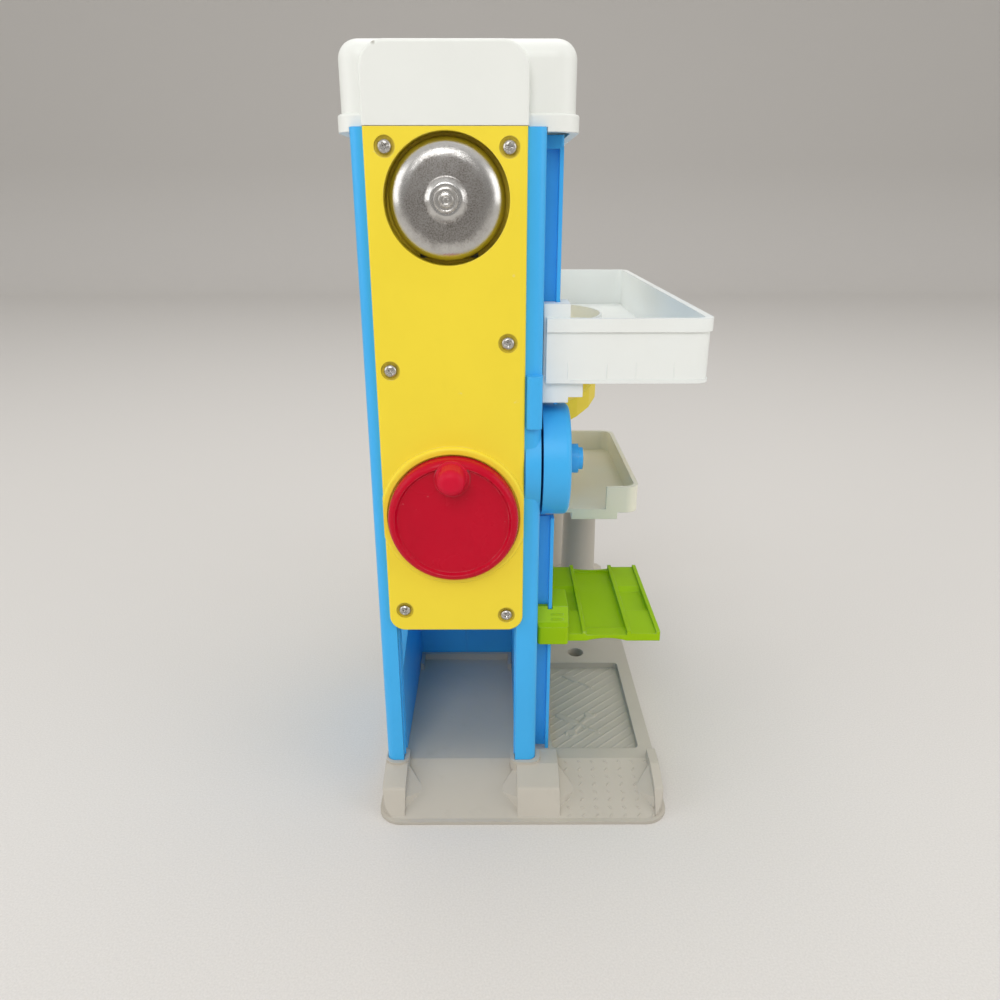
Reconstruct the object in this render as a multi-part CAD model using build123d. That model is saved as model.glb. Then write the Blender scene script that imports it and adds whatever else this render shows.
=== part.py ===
"""Toy parking garage with two lifts, two decks and a spiral ramp.

Millimetres, +Z up. X runs to the lift side, Y away from the bell face.
The origin is the centre of the base's underside.
"""
from build123d import *
import math
import os

# ---------------------------------------------------------------- driving sizes
RUNNING_GAP = 0.3        # between neighbours that slide or turn
FIT = 0.08               # radial clearance of a shaft in its bore
SEAT = 0.2               # clearance of a post in its socket

BASE_HALF_WIDTH = 88.0
BASE_HALF_LENGTH = 181.5
BASE_TOP = 16.0
BASE_WALL = 2.4
BASE_CORNER = 12.0
LIP_WIDTH = 3.0
LIP_THICK = 2.0
RAMP_RUN = 37.5
BLOCK_RISE = 5.0
CURB_WIDTH = 5.5
SOCKET_RIM = 3.0
GUSSET_RISE = 6.0

TOWER_LEFT = -84.9
TOWER_RIGHT = 8.2
TOWER_FRONT = -150.0
TOWER_BACK = -19.0
TOWER_TOP = 384.0
LEFT_WALL = 10.3
RIGHT_WALL = 12.8
BACK_WALL = 3.0
CORNER_RADIUS = 5.0
SHAFT_AXIS = -39.5

PANEL_THICK = 2.4
PANEL_WIDTH = 77.0
PANEL_BOTTOM = 117.4
PANEL_TOP = 384.0
PANEL_RADIUS = 9.0
PLATE_THICK = 2.5
PLATE_DEPTH = 14.0       # tower face to the front of the mechanism plate
CAP_HEIGHT = 40.0
CAP_SINK = 2.0
CAP_OVERHANG = 7.0
CAP_BAND = 8.0

BELL_Z = 352.0
BELL_RADIUS = 28.4
BELL_DEPTH = 14.0
BELL_WALL = 1.2
CUP_RADIUS = 30.2
CUP_DEPTH = 11.4
CUP_WALL = 2.0

CRANK_Z = 189.0
CRANK_RADIUS = 35.5
CRANK_DEPTH = 9.0
CRANK_THROW = 25.0
AXLE_RADIUS = 4.0
SPOOL_CORE = 10.0
SPOOL_FLANGE = 14.0
SPOOL_WIDTH = 8.0
CORD_RADIUS = 0.8

STRIKER_Z = 262.0
STRIKER_PIN = 2.0
HAMMER_RADIUS = 2.7

PULLEY_RADIUS = 8.0
PULLEY_DROP = 18.0       # panel's top edge down to the pulley's axis
PULLEY_WIDTH = 5.0
PULLEY_PIN = 1.8

UPPER_FLOOR = 266.0
LOWER_FLOOR = 148.5
FLOOR_THICK = 2.5

RAIL_REACH = 9.4
RAIL_WEB = 3.0
RAIL_LIP = 2.1
RAIL_FRONT = -127.0
RAIL_BACK = -50.0
RAIL_TOP = 376.5
RAIL_GAP_LOW = 179.0
RAIL_GAP_HIGH = 247.0

KNOB_Y = -122.0
KNOB_Z = 213.0
KNOB_RADIUS = 32.0
KNOB_WIDTH = 15.3
KNOB_START = 9.5
KNOB_HUB = 8.4

GEAR_MODULE = 1.6
GEAR_TEETH = 10
GEAR_WIDTH = 6.0
RACK_BACKING = 6.6

SERVICE_FLOOR = 102.0
SERVICE_LEFT = 19.0
SERVICE_RIGHT = 84.0
SERVICE_FRONT = -139.0
SERVICE_BACK = -42.0
SERVICE_UP = 46.0
SERVICE_DOWN = 76.0
TRACK_RIBS = (37.7, 65.0)
TRACK_RIB = 4.0
TRACK_RISE = 2.4
CRADLE_FRONT = -106.0
CRADLE_BACK = -72.0
ARCH_RADIUS = 42.0
HOOK_HEIGHT = 19.0
HOOK_RIGHT = 27.5

UPPER_LEFT = 18.4
UPPER_RIGHT = 97.0
UPPER_FRONT = -142.0
UPPER_BACK = 163.0
UPPER_RIM = 29.0
DECK_WALL = 3.0

LOWER_LEFT = 8.6
LOWER_RIGHT = 84.0
LOWER_FRONT = -40.0
LOWER_BACK = 104.0
LOWER_RIM = 16.5

SPIRAL_X = -1.5
SPIRAL_Y = 45.0
SPIRAL_OUTER = 62.0
SPIRAL_TURN = 450.0
SPIRAL_STEP = 15.0
SPIRAL_CURB = 12.0
SPIRAL_WALL = 2.4
CORE_RADIUS = 12.0
SPIRAL_INNER = CORE_RADIUS + RUNNING_GAP

COLUMN_RADIUS = 13.0
COLUMN_SOCKET = 2.5

# ---------------------------------------------------------------- shared places
PANEL_FRONT = TOWER_FRONT - PANEL_THICK
PLATE_FRONT = TOWER_FRONT + PLATE_DEPTH
PLATE_BACK = PLATE_FRONT + PLATE_THICK
SHAFT_LEFT = TOWER_LEFT + LEFT_WALL
SHAFT_RIGHT = TOWER_RIGHT - RIGHT_WALL
SHAFT_BACK = TOWER_BACK - BACK_WALL
RAIL_OUT = TOWER_RIGHT + RAIL_REACH
PULLEY_Z = PANEL_TOP - PULLEY_DROP
HAMMER_Z = BELL_Z - BELL_RADIUS + 6.4
TAIL_Z = CRANK_Z + 13.0
KERB_FOOT = 4.0 - BASE_HALF_LENGTH
PITCH_RADIUS = GEAR_MODULE * GEAR_TEETH / 2
TOOTH_PITCH = math.pi * GEAR_MODULE
RACK_LINE = KNOB_Y + PITCH_RADIUS
TEETH_BELOW = math.ceil(SERVICE_UP / TOOTH_PITCH) + 2
TEETH_ABOVE = math.ceil(SERVICE_DOWN / TOOTH_PITCH) + 2
RACK_LOW = KNOB_Z - (TEETH_BELOW - 0.5) * TOOTH_PITCH
RACK_HIGH = KNOB_Z + TEETH_ABOVE * TOOTH_PITCH
CUP_FLOOR = PANEL_FRONT + CUP_DEPTH
SCREW_HEAD = 3.35
SCREW_WELL = 4.8
SCREW_SHANK = 1.5
PANEL_SCREWS = [
    (SHAFT_AXIS - 28.5, PANEL_TOP - 8.6), (SHAFT_AXIS + 30.0, PANEL_TOP - 9.0),
    (SHAFT_AXIS - 30.9, PANEL_TOP - 114.0), (SHAFT_AXIS + 29.5, PANEL_TOP - 100.0),
    (SHAFT_AXIS - 29.5, PANEL_BOTTOM + 13.2), (SHAFT_AXIS + 29.1, PANEL_BOTTOM + 10.0),
]


# ---------------------------------------------------------------- small helpers
def block(x0, x1, y0, y1, z0, z1):
    """A box between two corners."""
    return Pos((x0 + x1) / 2, (y0 + y1) / 2, (z0 + z1) / 2) * Box(x1 - x0, y1 - y0, z1 - z0)


def slab(x0, x1, y0, y1, z0, z1, radius):
    """A box whose four upright corners are rounded."""
    return fillet(block(x0, x1, y0, y1, z0, z1).edges().filter_by(Axis.Z), radius)


def face_slab(x0, x1, y0, y1, z0, z1, radius):
    """A box whose four corners seen along Y are rounded."""
    return fillet(block(x0, x1, y0, y1, z0, z1).edges().filter_by(Axis.Y), radius)


def rod_x(x0, x1, y, z, radius):
    return Pos((x0 + x1) / 2, y, z) * Rot(0, 90, 0) * Cylinder(radius, x1 - x0)


def rod_y(y0, y1, x, z, radius):
    return Pos(x, (y0 + y1) / 2, z) * Rot(90, 0, 0) * Cylinder(radius, y1 - y0)


def rod_z(z0, z1, x, y, radius):
    return Pos(x, y, (z0 + z1) / 2) * Cylinder(radius, z1 - z0)


def cone_y(y0, y1, x, z, radius0, radius1):
    """A cone along Y, radius0 at y0 and radius1 at y1."""
    return Pos(x, (y0 + y1) / 2, z) * Rot(-90, 0, 0) * Cone(radius0, radius1, y1 - y0)


def side_profile(points, x0, x1):
    """Carries an outline in the YZ plane from x0 to x1."""
    face = make_face(Polyline(points, close=True))
    return extrude(Plane.YZ.offset(x0) * face, x1 - x0)


def save(name, shape):
    shape.label = name
    export_step(shape, f"parts/{name}.step")


# ---------------------------------------------------------------- base
def base_body(inset):
    """The tray's form with a drive-on ramp at each end, drawn in by inset."""
    top = BASE_TOP - inset
    low = LIP_THICK - inset
    foot = BASE_HALF_LENGTH - LIP_WIDTH - 2 * inset
    crest = foot - RAMP_RUN
    half = BASE_HALF_WIDTH - LIP_THICK - inset
    points = [(-foot, -1), (-foot, low), (-crest, top), (crest, top), (foot, low), (foot, -1)]
    body = side_profile(points, -half, half)
    plan = slab(-half, half, -foot, foot, 0, top, BASE_CORNER - inset)
    return body & plan


def post_block(x0, x1):
    """A kerb block in front of a tower post, with a steep nose and a gentler brow."""
    top = BASE_TOP + BLOCK_RISE
    nose = KERB_FOOT + 9
    points = [(KERB_FOOT, LIP_THICK - 1), (KERB_FOOT, LIP_THICK), (nose, top - 5), (TOWER_FRONT - 2, top),
              (TOWER_FRONT + 12, top), (TOWER_FRONT + 13, LIP_THICK)]
    block_body = side_profile(points, x0, x1)
    brow = [edge for edge in block_body.edges().filter_by(Axis.X)
            if abs(edge.center().Y - nose) < 0.5 or abs(edge.center().Y - TOWER_FRONT + 2) < 0.5]
    return fillet(brow, 3)


def gusset(x, side):
    """A leaning facet that runs from a kerb block's side down to a point on the ramp."""
    slope = (BASE_TOP - LIP_THICK) / RAMP_RUN
    foot = LIP_WIDTH - BASE_HALF_LENGTH
    ramp = lambda y: LIP_THICK + (y - foot) * slope - 1
    low, high = foot + 4, foot + 32
    inner = x - side * 1.5
    side_face = Polyline((inner, low, ramp(low)), (inner, high, ramp(high)), (inner, high, ramp(high) + GUSSET_RISE),
                         (inner, low + 4, ramp(low + 4) + GUSSET_RISE), close=True)
    return loft([make_face(side_face), Vertex(x + side * 11, foot + 18, ramp(foot + 18))])


def foot_socket(x0, x1, y1):
    """A rounded rim on the base round one foot of the tower."""
    return slab(x0 - SOCKET_RIM, x1 + SOCKET_RIM, TOWER_FRONT - SOCKET_RIM, y1, BASE_TOP - 1,
                BASE_TOP + BLOCK_RISE + 1.5, CORNER_RADIUS + 1)


def service_bay(grow, z0, z1):
    """The space of the sunk service bay, grown by a wall."""
    return slab(TOWER_RIGHT + 12 - grow, 77 + grow, -131 - grow, -30 + grow, z0, z1, 3 + grow)


def base_tray():
    lip = slab(-BASE_HALF_WIDTH, BASE_HALF_WIDTH, -BASE_HALF_LENGTH, BASE_HALF_LENGTH, 0, LIP_THICK,
               BASE_CORNER + 2)
    tray = lip + base_body(0)
    hollow = base_body(BASE_WALL)
    for x in range(-60, 61, 30):
        hollow -= block(x - 1, x + 1, -BASE_HALF_LENGTH, BASE_HALF_LENGTH, -1, BASE_TOP)
    for y in range(-150, 151, 30):
        hollow -= block(-BASE_HALF_WIDTH, BASE_HALF_WIDTH, y - 1, y + 1, -1, BASE_TOP)
    hollow -= service_bay(BASE_WALL, BASE_TOP - 5 - BASE_WALL, BASE_TOP)
    tray -= hollow
    right = BASE_HALF_WIDTH - LIP_THICK
    kerbs = Part() + [post_block(x0, x1) for x0, x1 in ((-right, -72), (-3.6, 22.4),
                                                        (right - CURB_WIDTH, right))]
    kerbs &= slab(-right, right, KERB_FOOT - 1, BASE_HALF_LENGTH, 0, BASE_TOP + 40, BASE_CORNER - 1)
    tray += kerbs
    for x, side in ((-72, 1), (-3.6, -1), (22.4, 1), (right - CURB_WIDTH, -1)):
        tray += gusset(x, side)
    # raised seats round the tower's feet
    tray += foot_socket(TOWER_LEFT + 2, SHAFT_LEFT, TOWER_FRONT + 13)
    tray += foot_socket(SHAFT_RIGHT, TOWER_RIGHT, TOWER_FRONT + 13)
    foot_rim = slab(TOWER_LEFT - 1, TOWER_RIGHT + 1, TOWER_BACK - 20, TOWER_BACK + SOCKET_RIM,
                    BASE_TOP - 1, BASE_TOP + BLOCK_RISE, 4)
    foot_rim -= block(SHAFT_LEFT + SOCKET_RIM, SHAFT_RIGHT - SOCKET_RIM, TOWER_BACK - 21,
                      SHAFT_BACK - SOCKET_RIM, BASE_TOP - 2, BASE_TOP + 20)
    tray += foot_rim
    tray -= tower_shell(SEAT, BASE_TOP, BASE_TOP + 30)
    tray -= rails(SEAT, BASE_TOP, BASE_TOP + 30)
    tray -= service_bay(0, BASE_TOP - 5, BASE_TOP + 1)
    for x, y in column_places():
        tray += rod_z(BASE_TOP - 1, BASE_TOP + 4, x, y, COLUMN_RADIUS + 2 + COLUMN_SOCKET)
        tray -= rod_z(BASE_TOP, BASE_TOP + 8, x, y, COLUMN_RADIUS + 2 + SEAT)
    tray += rod_z(BASE_TOP - 1, BASE_TOP + 4, SPIRAL_X, SPIRAL_Y, CORE_RADIUS + COLUMN_SOCKET)
    tray -= rod_z(BASE_TOP, BASE_TOP + 8, SPIRAL_X, SPIRAL_Y, CORE_RADIUS + SEAT)
    # hole for an accessory, with its own tube
    tray += rod_z(0, BASE_TOP, 46.4, -15, 8.5)
    tray -= rod_z(-1, BASE_TOP + 1, 46.4, -15, 6.1)
    return tray


def column_places():
    return [(55, 70), (34, 146)]


# ---------------------------------------------------------------- tower
def tower_shell(grow, z0, z1):
    """The tower's plan, a U open to the front, grown by a clearance."""
    outer = slab(TOWER_LEFT - grow, TOWER_RIGHT + grow, TOWER_FRONT - grow, TOWER_BACK + grow, z0, z1,
                 CORNER_RADIUS)
    inner = block(SHAFT_LEFT + grow, SHAFT_RIGHT - grow, TOWER_FRONT - 30, SHAFT_BACK - grow, z0 - 1, z1 + 1)
    return outer - inner


def rails(grow, z0, z1):
    """The two L flanges on the lift side that the lift and the deck hook over."""
    front_web = block(TOWER_RIGHT - 1, RAIL_OUT + grow, RAIL_FRONT - grow, RAIL_FRONT + RAIL_WEB + grow,
                      z0, z1)
    front_lip = block(RAIL_OUT - RAIL_LIP - grow, RAIL_OUT + grow, RAIL_FRONT - 4 - grow, RAIL_FRONT, z0, z1)
    back_web = block(TOWER_RIGHT - 1, RAIL_OUT + grow, RAIL_BACK - RAIL_WEB - grow, RAIL_BACK + grow, z0, z1)
    back_lip = block(RAIL_OUT - RAIL_LIP - grow, RAIL_OUT + grow, RAIL_BACK, RAIL_BACK + 4 + grow, z0, z1)
    return front_web + front_lip + back_web + back_lip


def rack_channel():
    """The upright slot in the right wall that the rack climbs in."""
    low = SERVICE_FLOOR - SERVICE_DOWN - 2
    high = RACK_HIGH + SERVICE_UP + 2
    x0 = TOWER_RIGHT - 2 - GEAR_WIDTH - RUNNING_GAP
    y0 = RACK_LINE - GEAR_MODULE - RUNNING_GAP
    y1 = RACK_LINE + 1.25 * GEAR_MODULE + RACK_BACKING + RUNNING_GAP
    return block(x0, TOWER_RIGHT + 1, y0, y1, low, high)


def pinion_pocket():
    tip = PITCH_RADIUS + GEAR_MODULE + 0.8
    pocket = rod_x(TOWER_RIGHT - 2 - GEAR_WIDTH - RUNNING_GAP, TOWER_RIGHT + 1, KNOB_Y, KNOB_Z, tip)
    bearing = rod_x(SHAFT_RIGHT - 1, TOWER_RIGHT, KNOB_Y, KNOB_Z, AXLE_RADIUS + FIT)
    return pocket + bearing


def tower():
    shell = tower_shell(0, BASE_TOP, TOWER_TOP)
    # ledges behind the mechanism plate
    ledge = 3.0
    y0 = PLATE_BACK + SEAT
    shell += block(SHAFT_LEFT - 1, SHAFT_LEFT + ledge, y0, y0 + ledge, PANEL_BOTTOM + 3, TOWER_TOP - 6)
    shell += block(SHAFT_RIGHT - ledge, SHAFT_RIGHT + 1, y0, y0 + ledge, PANEL_BOTTOM + 3, TOWER_TOP - 6)
    # window in the left wall, its sill rising to the back
    window = [(-138, 76), (-99, 87), (-42, 87), (-42, 330), (-62, 352), (-118, 352), (-138, 332)]
    shell -= side_profile(window, TOWER_LEFT - 1, SHAFT_LEFT + 1)
    # doorway in the back wall at the upper level
    door = face_slab(SHAFT_AXIS - 26.5, SHAFT_AXIS + 26.5, SHAFT_BACK - 1, TOWER_BACK + 1,
                     UPPER_FLOOR - 1, UPPER_FLOOR + 84, 10)
    shell -= door
    shell += rails(0, BASE_TOP, RAIL_TOP) - block(TOWER_RIGHT, 60, -200, 0, RAIL_GAP_LOW, RAIL_GAP_HIGH)
    shell += slab(TOWER_RIGHT - 8, RAIL_OUT, RAIL_FRONT - 4, RAIL_BACK + 4, RAIL_TOP - 1,
                  TOWER_TOP - CAP_SINK - SEAT, 1.5)
    # fine ribs along the inner faces of the two front posts, and the raised seam at the back
    foot = BASE_TOP + BLOCK_RISE + 2
    for y in (TOWER_FRONT + 5, TOWER_FRONT + 11):
        shell += block(SHAFT_LEFT - 1, SHAFT_LEFT + 0.8, y, y + 1.6, foot, PANEL_BOTTOM + 1)
        shell += block(SHAFT_RIGHT - 0.8, SHAFT_RIGHT + 1, y, y + 1.6, foot, PANEL_BOTTOM + 1)
    shell += block(SHAFT_AXIS - 1, SHAFT_AXIS + 1, SHAFT_BACK - RUNNING_GAP / 2, SHAFT_BACK + 1, foot,
                   UPPER_FLOOR - 5)
    # fixed band round the knob, standing out in front of the post
    band = rod_x(-0.3, TOWER_RIGHT, KNOB_Y, KNOB_Z, 31.5)
    lobe = slab(-0.3, TOWER_RIGHT, TOWER_FRONT - 4, TOWER_FRONT + 10, RAIL_GAP_HIGH - 8,
                RAIL_GAP_HIGH + 20, 3)
    shell += band & block(-0.3, TOWER_RIGHT, TOWER_FRONT - 4, TOWER_FRONT + 20, 0, 400)
    shell += lobe
    shell -= rack_channel()
    shell -= pinion_pocket()
    return shell


def tower_left_half():
    return tower() & block(TOWER_LEFT - 5, SHAFT_AXIS, -200, 0, 0, 400)


def tower_right_half():
    return tower() & block(SHAFT_AXIS, RAIL_OUT + 5, -200, 0, 0, 400)


def cap_form(inset, low, top, corner, crown):
    """The cap's rounded block, drawn in by inset."""
    form = slab(TOWER_LEFT - CAP_OVERHANG + inset, RAIL_OUT + CAP_OVERHANG - 0.4 - inset,
                TOWER_FRONT + 4 + inset, TOWER_BACK + CAP_OVERHANG - inset, low, top, corner)
    return fillet(form.faces().sort_by(Axis.Z)[-1].edges(), crown)


def roof_cap():
    low = TOWER_TOP - CAP_SINK
    top = low + CAP_HEIGHT
    band_edge = 1.8
    wall = 2.6
    half = PANEL_WIDTH / 2 + 0.4
    cap = cap_form(band_edge, low, top, 11, 9)
    cap += cap_form(0, low, low + CAP_BAND, 12, 1.2)
    front = TOWER_FRONT + 4
    pad = face_slab(SHAFT_AXIS - half, SHAFT_AXIS + half, PANEL_FRONT, front + 20, low - 30, top - 2.5, 12)
    pad = fillet(pad.faces().sort_by(Axis.Y)[0].edges(), 1.5)
    pad &= block(SHAFT_AXIS - 60, SHAFT_AXIS + 60, PANEL_FRONT - 5, front + 25, PANEL_TOP + SEAT, top)
    cap += pad
    cap -= cap_form(band_edge + wall, low - 1, top - wall, 9, 7)
    cap -= block(SHAFT_AXIS - half + wall, SHAFT_AXIS + half - wall, PANEL_FRONT + wall, front + 10,
                 low - 1, top - 9)
    cap -= tower_shell(SEAT, low - 1, TOWER_TOP + 0.01)
    # ribs that stand on the walls
    for x0, x1 in ((TOWER_LEFT + 4, SHAFT_LEFT - 3.5), (SHAFT_RIGHT + 4, TOWER_RIGHT - 4)):
        for y in (TOWER_FRONT + 24, TOWER_BACK - 28):
            cap += block(x0, x1, y, y + 12, TOWER_TOP, top - 1)
    return cap


# ---------------------------------------------------------------- bell and crank face
def cup_place(y0, y1, radius):
    return rod_y(y0, y1, SHAFT_AXIS, BELL_Z, radius)


def bell_crank_panel():
    x0 = SHAFT_AXIS - PANEL_WIDTH / 2
    x1 = SHAFT_AXIS + PANEL_WIDTH / 2
    panel = face_slab(x0, x1, PANEL_FRONT, TOWER_FRONT, PANEL_BOTTOM, PANEL_TOP + 30, PANEL_RADIUS)
    panel = fillet(panel.faces().sort_by(Axis.Y)[0].edges(), 1.0)
    panel &= block(x0, x1, PANEL_FRONT, TOWER_FRONT, PANEL_BOTTOM, PANEL_TOP)
    # skirt that reaches the mechanism plate between the tower walls
    sx0 = SHAFT_LEFT + RUNNING_GAP
    sx1 = SHAFT_RIGHT - RUNNING_GAP
    sz0 = PANEL_BOTTOM + 2
    sz1 = PANEL_TOP - 2
    skirt = block(sx0, sx1, TOWER_FRONT - 1, PLATE_FRONT, sz0, sz1)
    skirt -= block(sx0 + 2, sx1 - 2, TOWER_FRONT - 2, PLATE_FRONT + 1, sz0 + 2, sz1 - 2)
    panel += skirt
    # bell cup
    panel += cup_place(TOWER_FRONT - 1, CUP_FLOOR + CUP_WALL, CUP_RADIUS + CUP_WALL)
    panel -= cup_place(PANEL_FRONT - 1, CUP_FLOOR, CUP_RADIUS)
    panel += cup_place(PANEL_FRONT - 2, CUP_FLOOR + 1, 5)
    panel -= cup_place(PANEL_FRONT - 3, PLATE_FRONT, SCREW_SHANK + FIT)
    panel -= block(SHAFT_AXIS - 14.5, SHAFT_AXIS + 14.5, CUP_FLOOR - 1, PLATE_FRONT, HAMMER_Z - 5, HAMMER_Z + 5)
    # bezel and bearing of the crank
    bezel = rod_y(PANEL_FRONT - 2, PANEL_FRONT + 1, SHAFT_AXIS, CRANK_Z, CRANK_RADIUS + 5)
    bezel = fillet(bezel.faces().sort_by(Axis.Y)[0].edges(), 1.9)
    bezel -= rod_y(PANEL_FRONT - 3, PANEL_FRONT, SHAFT_AXIS, CRANK_Z, CRANK_RADIUS + 1.0)
    panel += bezel & block(x0, x1, -200, 0, 0, 400)
    panel += rod_y(PANEL_FRONT, PLATE_FRONT, SHAFT_AXIS, CRANK_Z, AXLE_RADIUS + 3)
    panel -= rod_y(PANEL_FRONT - 1, PLATE_FRONT + 1, SHAFT_AXIS, CRANK_Z, AXLE_RADIUS + FIT)
    panel -= cam_space()
    for x, z in PANEL_SCREWS:
        panel += rod_y(PANEL_FRONT + 0.5, PLATE_FRONT, x, z, SCREW_WELL + 0.6)
        panel -= rod_y(PANEL_FRONT - 1, PANEL_FRONT + 1.2, x, z, SCREW_WELL)
        panel -= rod_y(PANEL_FRONT, PLATE_FRONT + 1, x, z, SCREW_SHANK + FIT)
    panel -= block(x0 - 1, sx0 - 0.01, TOWER_FRONT, PLATE_FRONT + 1, PANEL_BOTTOM, PANEL_TOP)
    panel -= block(sx1 + 0.01, x1 + 1, TOWER_FRONT, PLATE_FRONT + 1, PANEL_BOTTOM, PANEL_TOP)
    return panel


def cam_space():
    """Room for the striker cam between the bearing boss and the plate."""
    return rod_y(PLATE_FRONT - 4, PLATE_FRONT + 1, SHAFT_AXIS, CRANK_Z, 16)


def mechanism_plate():
    plate = block(SHAFT_LEFT + SEAT, SHAFT_RIGHT - SEAT, PLATE_FRONT, PLATE_BACK, PANEL_BOTTOM + 2,
                  PANEL_TOP - 4)
    plate -= rod_y(PLATE_FRONT - 1, PLATE_BACK + 1, SHAFT_AXIS, CRANK_Z, AXLE_RADIUS + FIT)
    for x, z in PANEL_SCREWS:
        if z < PANEL_TOP - 4:
            plate += rod_y(PLATE_BACK - 0.5, PLATE_BACK + 2.5, x, z, 3) & plate_reach()
            plate -= rod_y(PLATE_FRONT - 1, PLATE_BACK + 3, x, z, SCREW_SHANK)
    # pin that the striker swings on
    plate += rod_y(PLATE_FRONT - 3.4, PLATE_FRONT + 0.5, SHAFT_AXIS, STRIKER_Z, STRIKER_PIN)
    # ears of the top pulley
    ear = 2.0
    inner = PULLEY_WIDTH / 2 + RUNNING_GAP
    px, py = pulley_place()
    for side in (-1, 1):
        x0 = px + side * inner
        x1 = px + side * (inner + ear)
        low, high = min(x0, x1), max(x0, x1)
        plate += block(low, high, PLATE_BACK - 0.5, py + 4, PULLEY_Z - 7, PULLEY_Z + 7)
    plate -= rod_x(px - 10, px + 10, py, PULLEY_Z, PULLEY_PIN)
    return plate


def plate_reach():
    """The strip behind the plate that stays clear of the ledges on the walls."""
    return block(SHAFT_LEFT + 3.6, SHAFT_RIGHT - 3.6, -200, 0, 0, 400)


def bell_outline(shrink):
    """The gong's spun form: straight rim, round shoulder, flat face and a raised boss."""
    rim = CUP_FLOOR - 3.0
    crown = rim - BELL_DEPTH + shrink
    face = crown + 2.0
    radius = BELL_RADIUS - shrink
    points = [(0, rim), (radius, rim), (radius, face), (11.0, face), (7.5, crown), (0, crown)]
    outline = make_face(Polyline(points, close=True))
    outline = fillet([v for v in outline.vertices() if abs(v.X - radius) + abs(v.Y - face) < 0.1], 7 - shrink)
    outline = fillet([v for v in outline.vertices() if abs(v.X - 11.0) + abs(v.Y - face) < 0.1], 1.5)
    outline = fillet([v for v in outline.vertices() if abs(v.X - 7.5) + abs(v.Y - crown) < 0.1], 1.5)
    return revolve(outline, Axis.Y)


def bell_gong():
    gong = bell_outline(0) - bell_outline(BELL_WALL)
    return Pos(SHAFT_AXIS, 0, BELL_Z) * (gong - rod_y(-200, 0, 0, 0, SCREW_SHANK + 0.5))


def bell_screw():
    crown = CUP_FLOOR - 3.0 - BELL_DEPTH
    head = rod_y(crown - 2.2, crown - 0.9, SHAFT_AXIS, BELL_Z, 3.4)
    head = fillet(head.faces().sort_by(Axis.Y)[0].edges(), 0.6)
    washer = rod_y(crown - 0.9, crown, SHAFT_AXIS, BELL_Z, 5.2)
    # spacer between the crown and the cup's post
    spacer = rod_y(crown + BELL_WALL, PANEL_FRONT - 2, SHAFT_AXIS, BELL_Z, 4.5)
    shank = rod_y(crown - 0.5, PLATE_FRONT - 0.5, SHAFT_AXIS, BELL_Z, SCREW_SHANK)
    return head + washer + spacer + shank


def bell_striker():
    """Lever with a hammer inside the gong and a tail above the cam."""
    y0 = PLATE_FRONT - 2.6
    y1 = PLATE_FRONT - 1.0
    lever = block(SHAFT_AXIS - 2.5, SHAFT_AXIS + 2.5, y0, y1, TAIL_Z, HAMMER_Z)
    lever += rod_y(y0, y1, SHAFT_AXIS, STRIKER_Z, 6)
    lever += rod_y(y0, y1, SHAFT_AXIS, TAIL_Z, 2.5)
    lever += rod_y(CUP_FLOOR - 6, y1, SHAFT_AXIS, HAMMER_Z, 1.6)
    lever += Pos(SHAFT_AXIS, CUP_FLOOR - 6, HAMMER_Z) * Sphere(HAMMER_RADIUS)
    lever -= rod_y(y0 - 1, y1 + 1, SHAFT_AXIS, STRIKER_Z, STRIKER_PIN + FIT)
    return lever


def crank_wheel():
    """A dished disc with a rounded rim and a socket for the knob."""
    back = PANEL_FRONT - 0.6
    front = back - CRANK_DEPTH
    disc = rod_y(front, back, SHAFT_AXIS, CRANK_Z, CRANK_RADIUS)
    disc = fillet(disc.faces().sort_by(Axis.Y)[0].edges(), 4)
    disc -= cone_y(front - 1, front + 2, SHAFT_AXIS, CRANK_Z, CRANK_RADIUS - 3.2, CRANK_RADIUS - 5.2)
    disc -= rod_y(back - 5, back + 1, SHAFT_AXIS, CRANK_Z, CRANK_RADIUS - 3) \
        - rod_y(back - 6, back + 2, SHAFT_AXIS, CRANK_Z, AXLE_RADIUS + 4)
    for turn in range(0, 360, 45):
        spoke = block(SHAFT_AXIS - 0.8, SHAFT_AXIS + 0.8, back - 5, back, CRANK_Z + 6, CRANK_Z + 33)
        disc += Pos(SHAFT_AXIS, 0, CRANK_Z) * Rot(0, turn, 0) * Pos(-SHAFT_AXIS, 0, -CRANK_Z) * spoke
    disc += rod_y(front, front + 4, SHAFT_AXIS, CRANK_Z + CRANK_THROW, 9.6) \
        & rod_y(front, front + 4, SHAFT_AXIS, CRANK_Z, CRANK_RADIUS - 1)
    return disc - rod_y(back - 5, back + 1, SHAFT_AXIS, CRANK_Z, AXLE_RADIUS)


def crank_knob():
    front = PANEL_FRONT - 0.6 - CRANK_DEPTH
    z = CRANK_Z + CRANK_THROW
    knob = cone_y(front - 24, front, SHAFT_AXIS, z, 7.3, 9.0)
    knob = fillet(knob.faces().sort_by(Axis.Y)[0].edges(), 5.5)
    knob += rod_y(front - 1.2, front, SHAFT_AXIS, z, 10.2) & rod_y(front - 2, front, SHAFT_AXIS, CRANK_Z,
                                                                  CRANK_RADIUS - 3)
    return knob


def crank_axle():
    back = PANEL_FRONT - 0.6
    axle = rod_y(back - 5, PLATE_BACK + 0.6 + SPOOL_WIDTH, SHAFT_AXIS, CRANK_Z, AXLE_RADIUS)
    return axle


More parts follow.
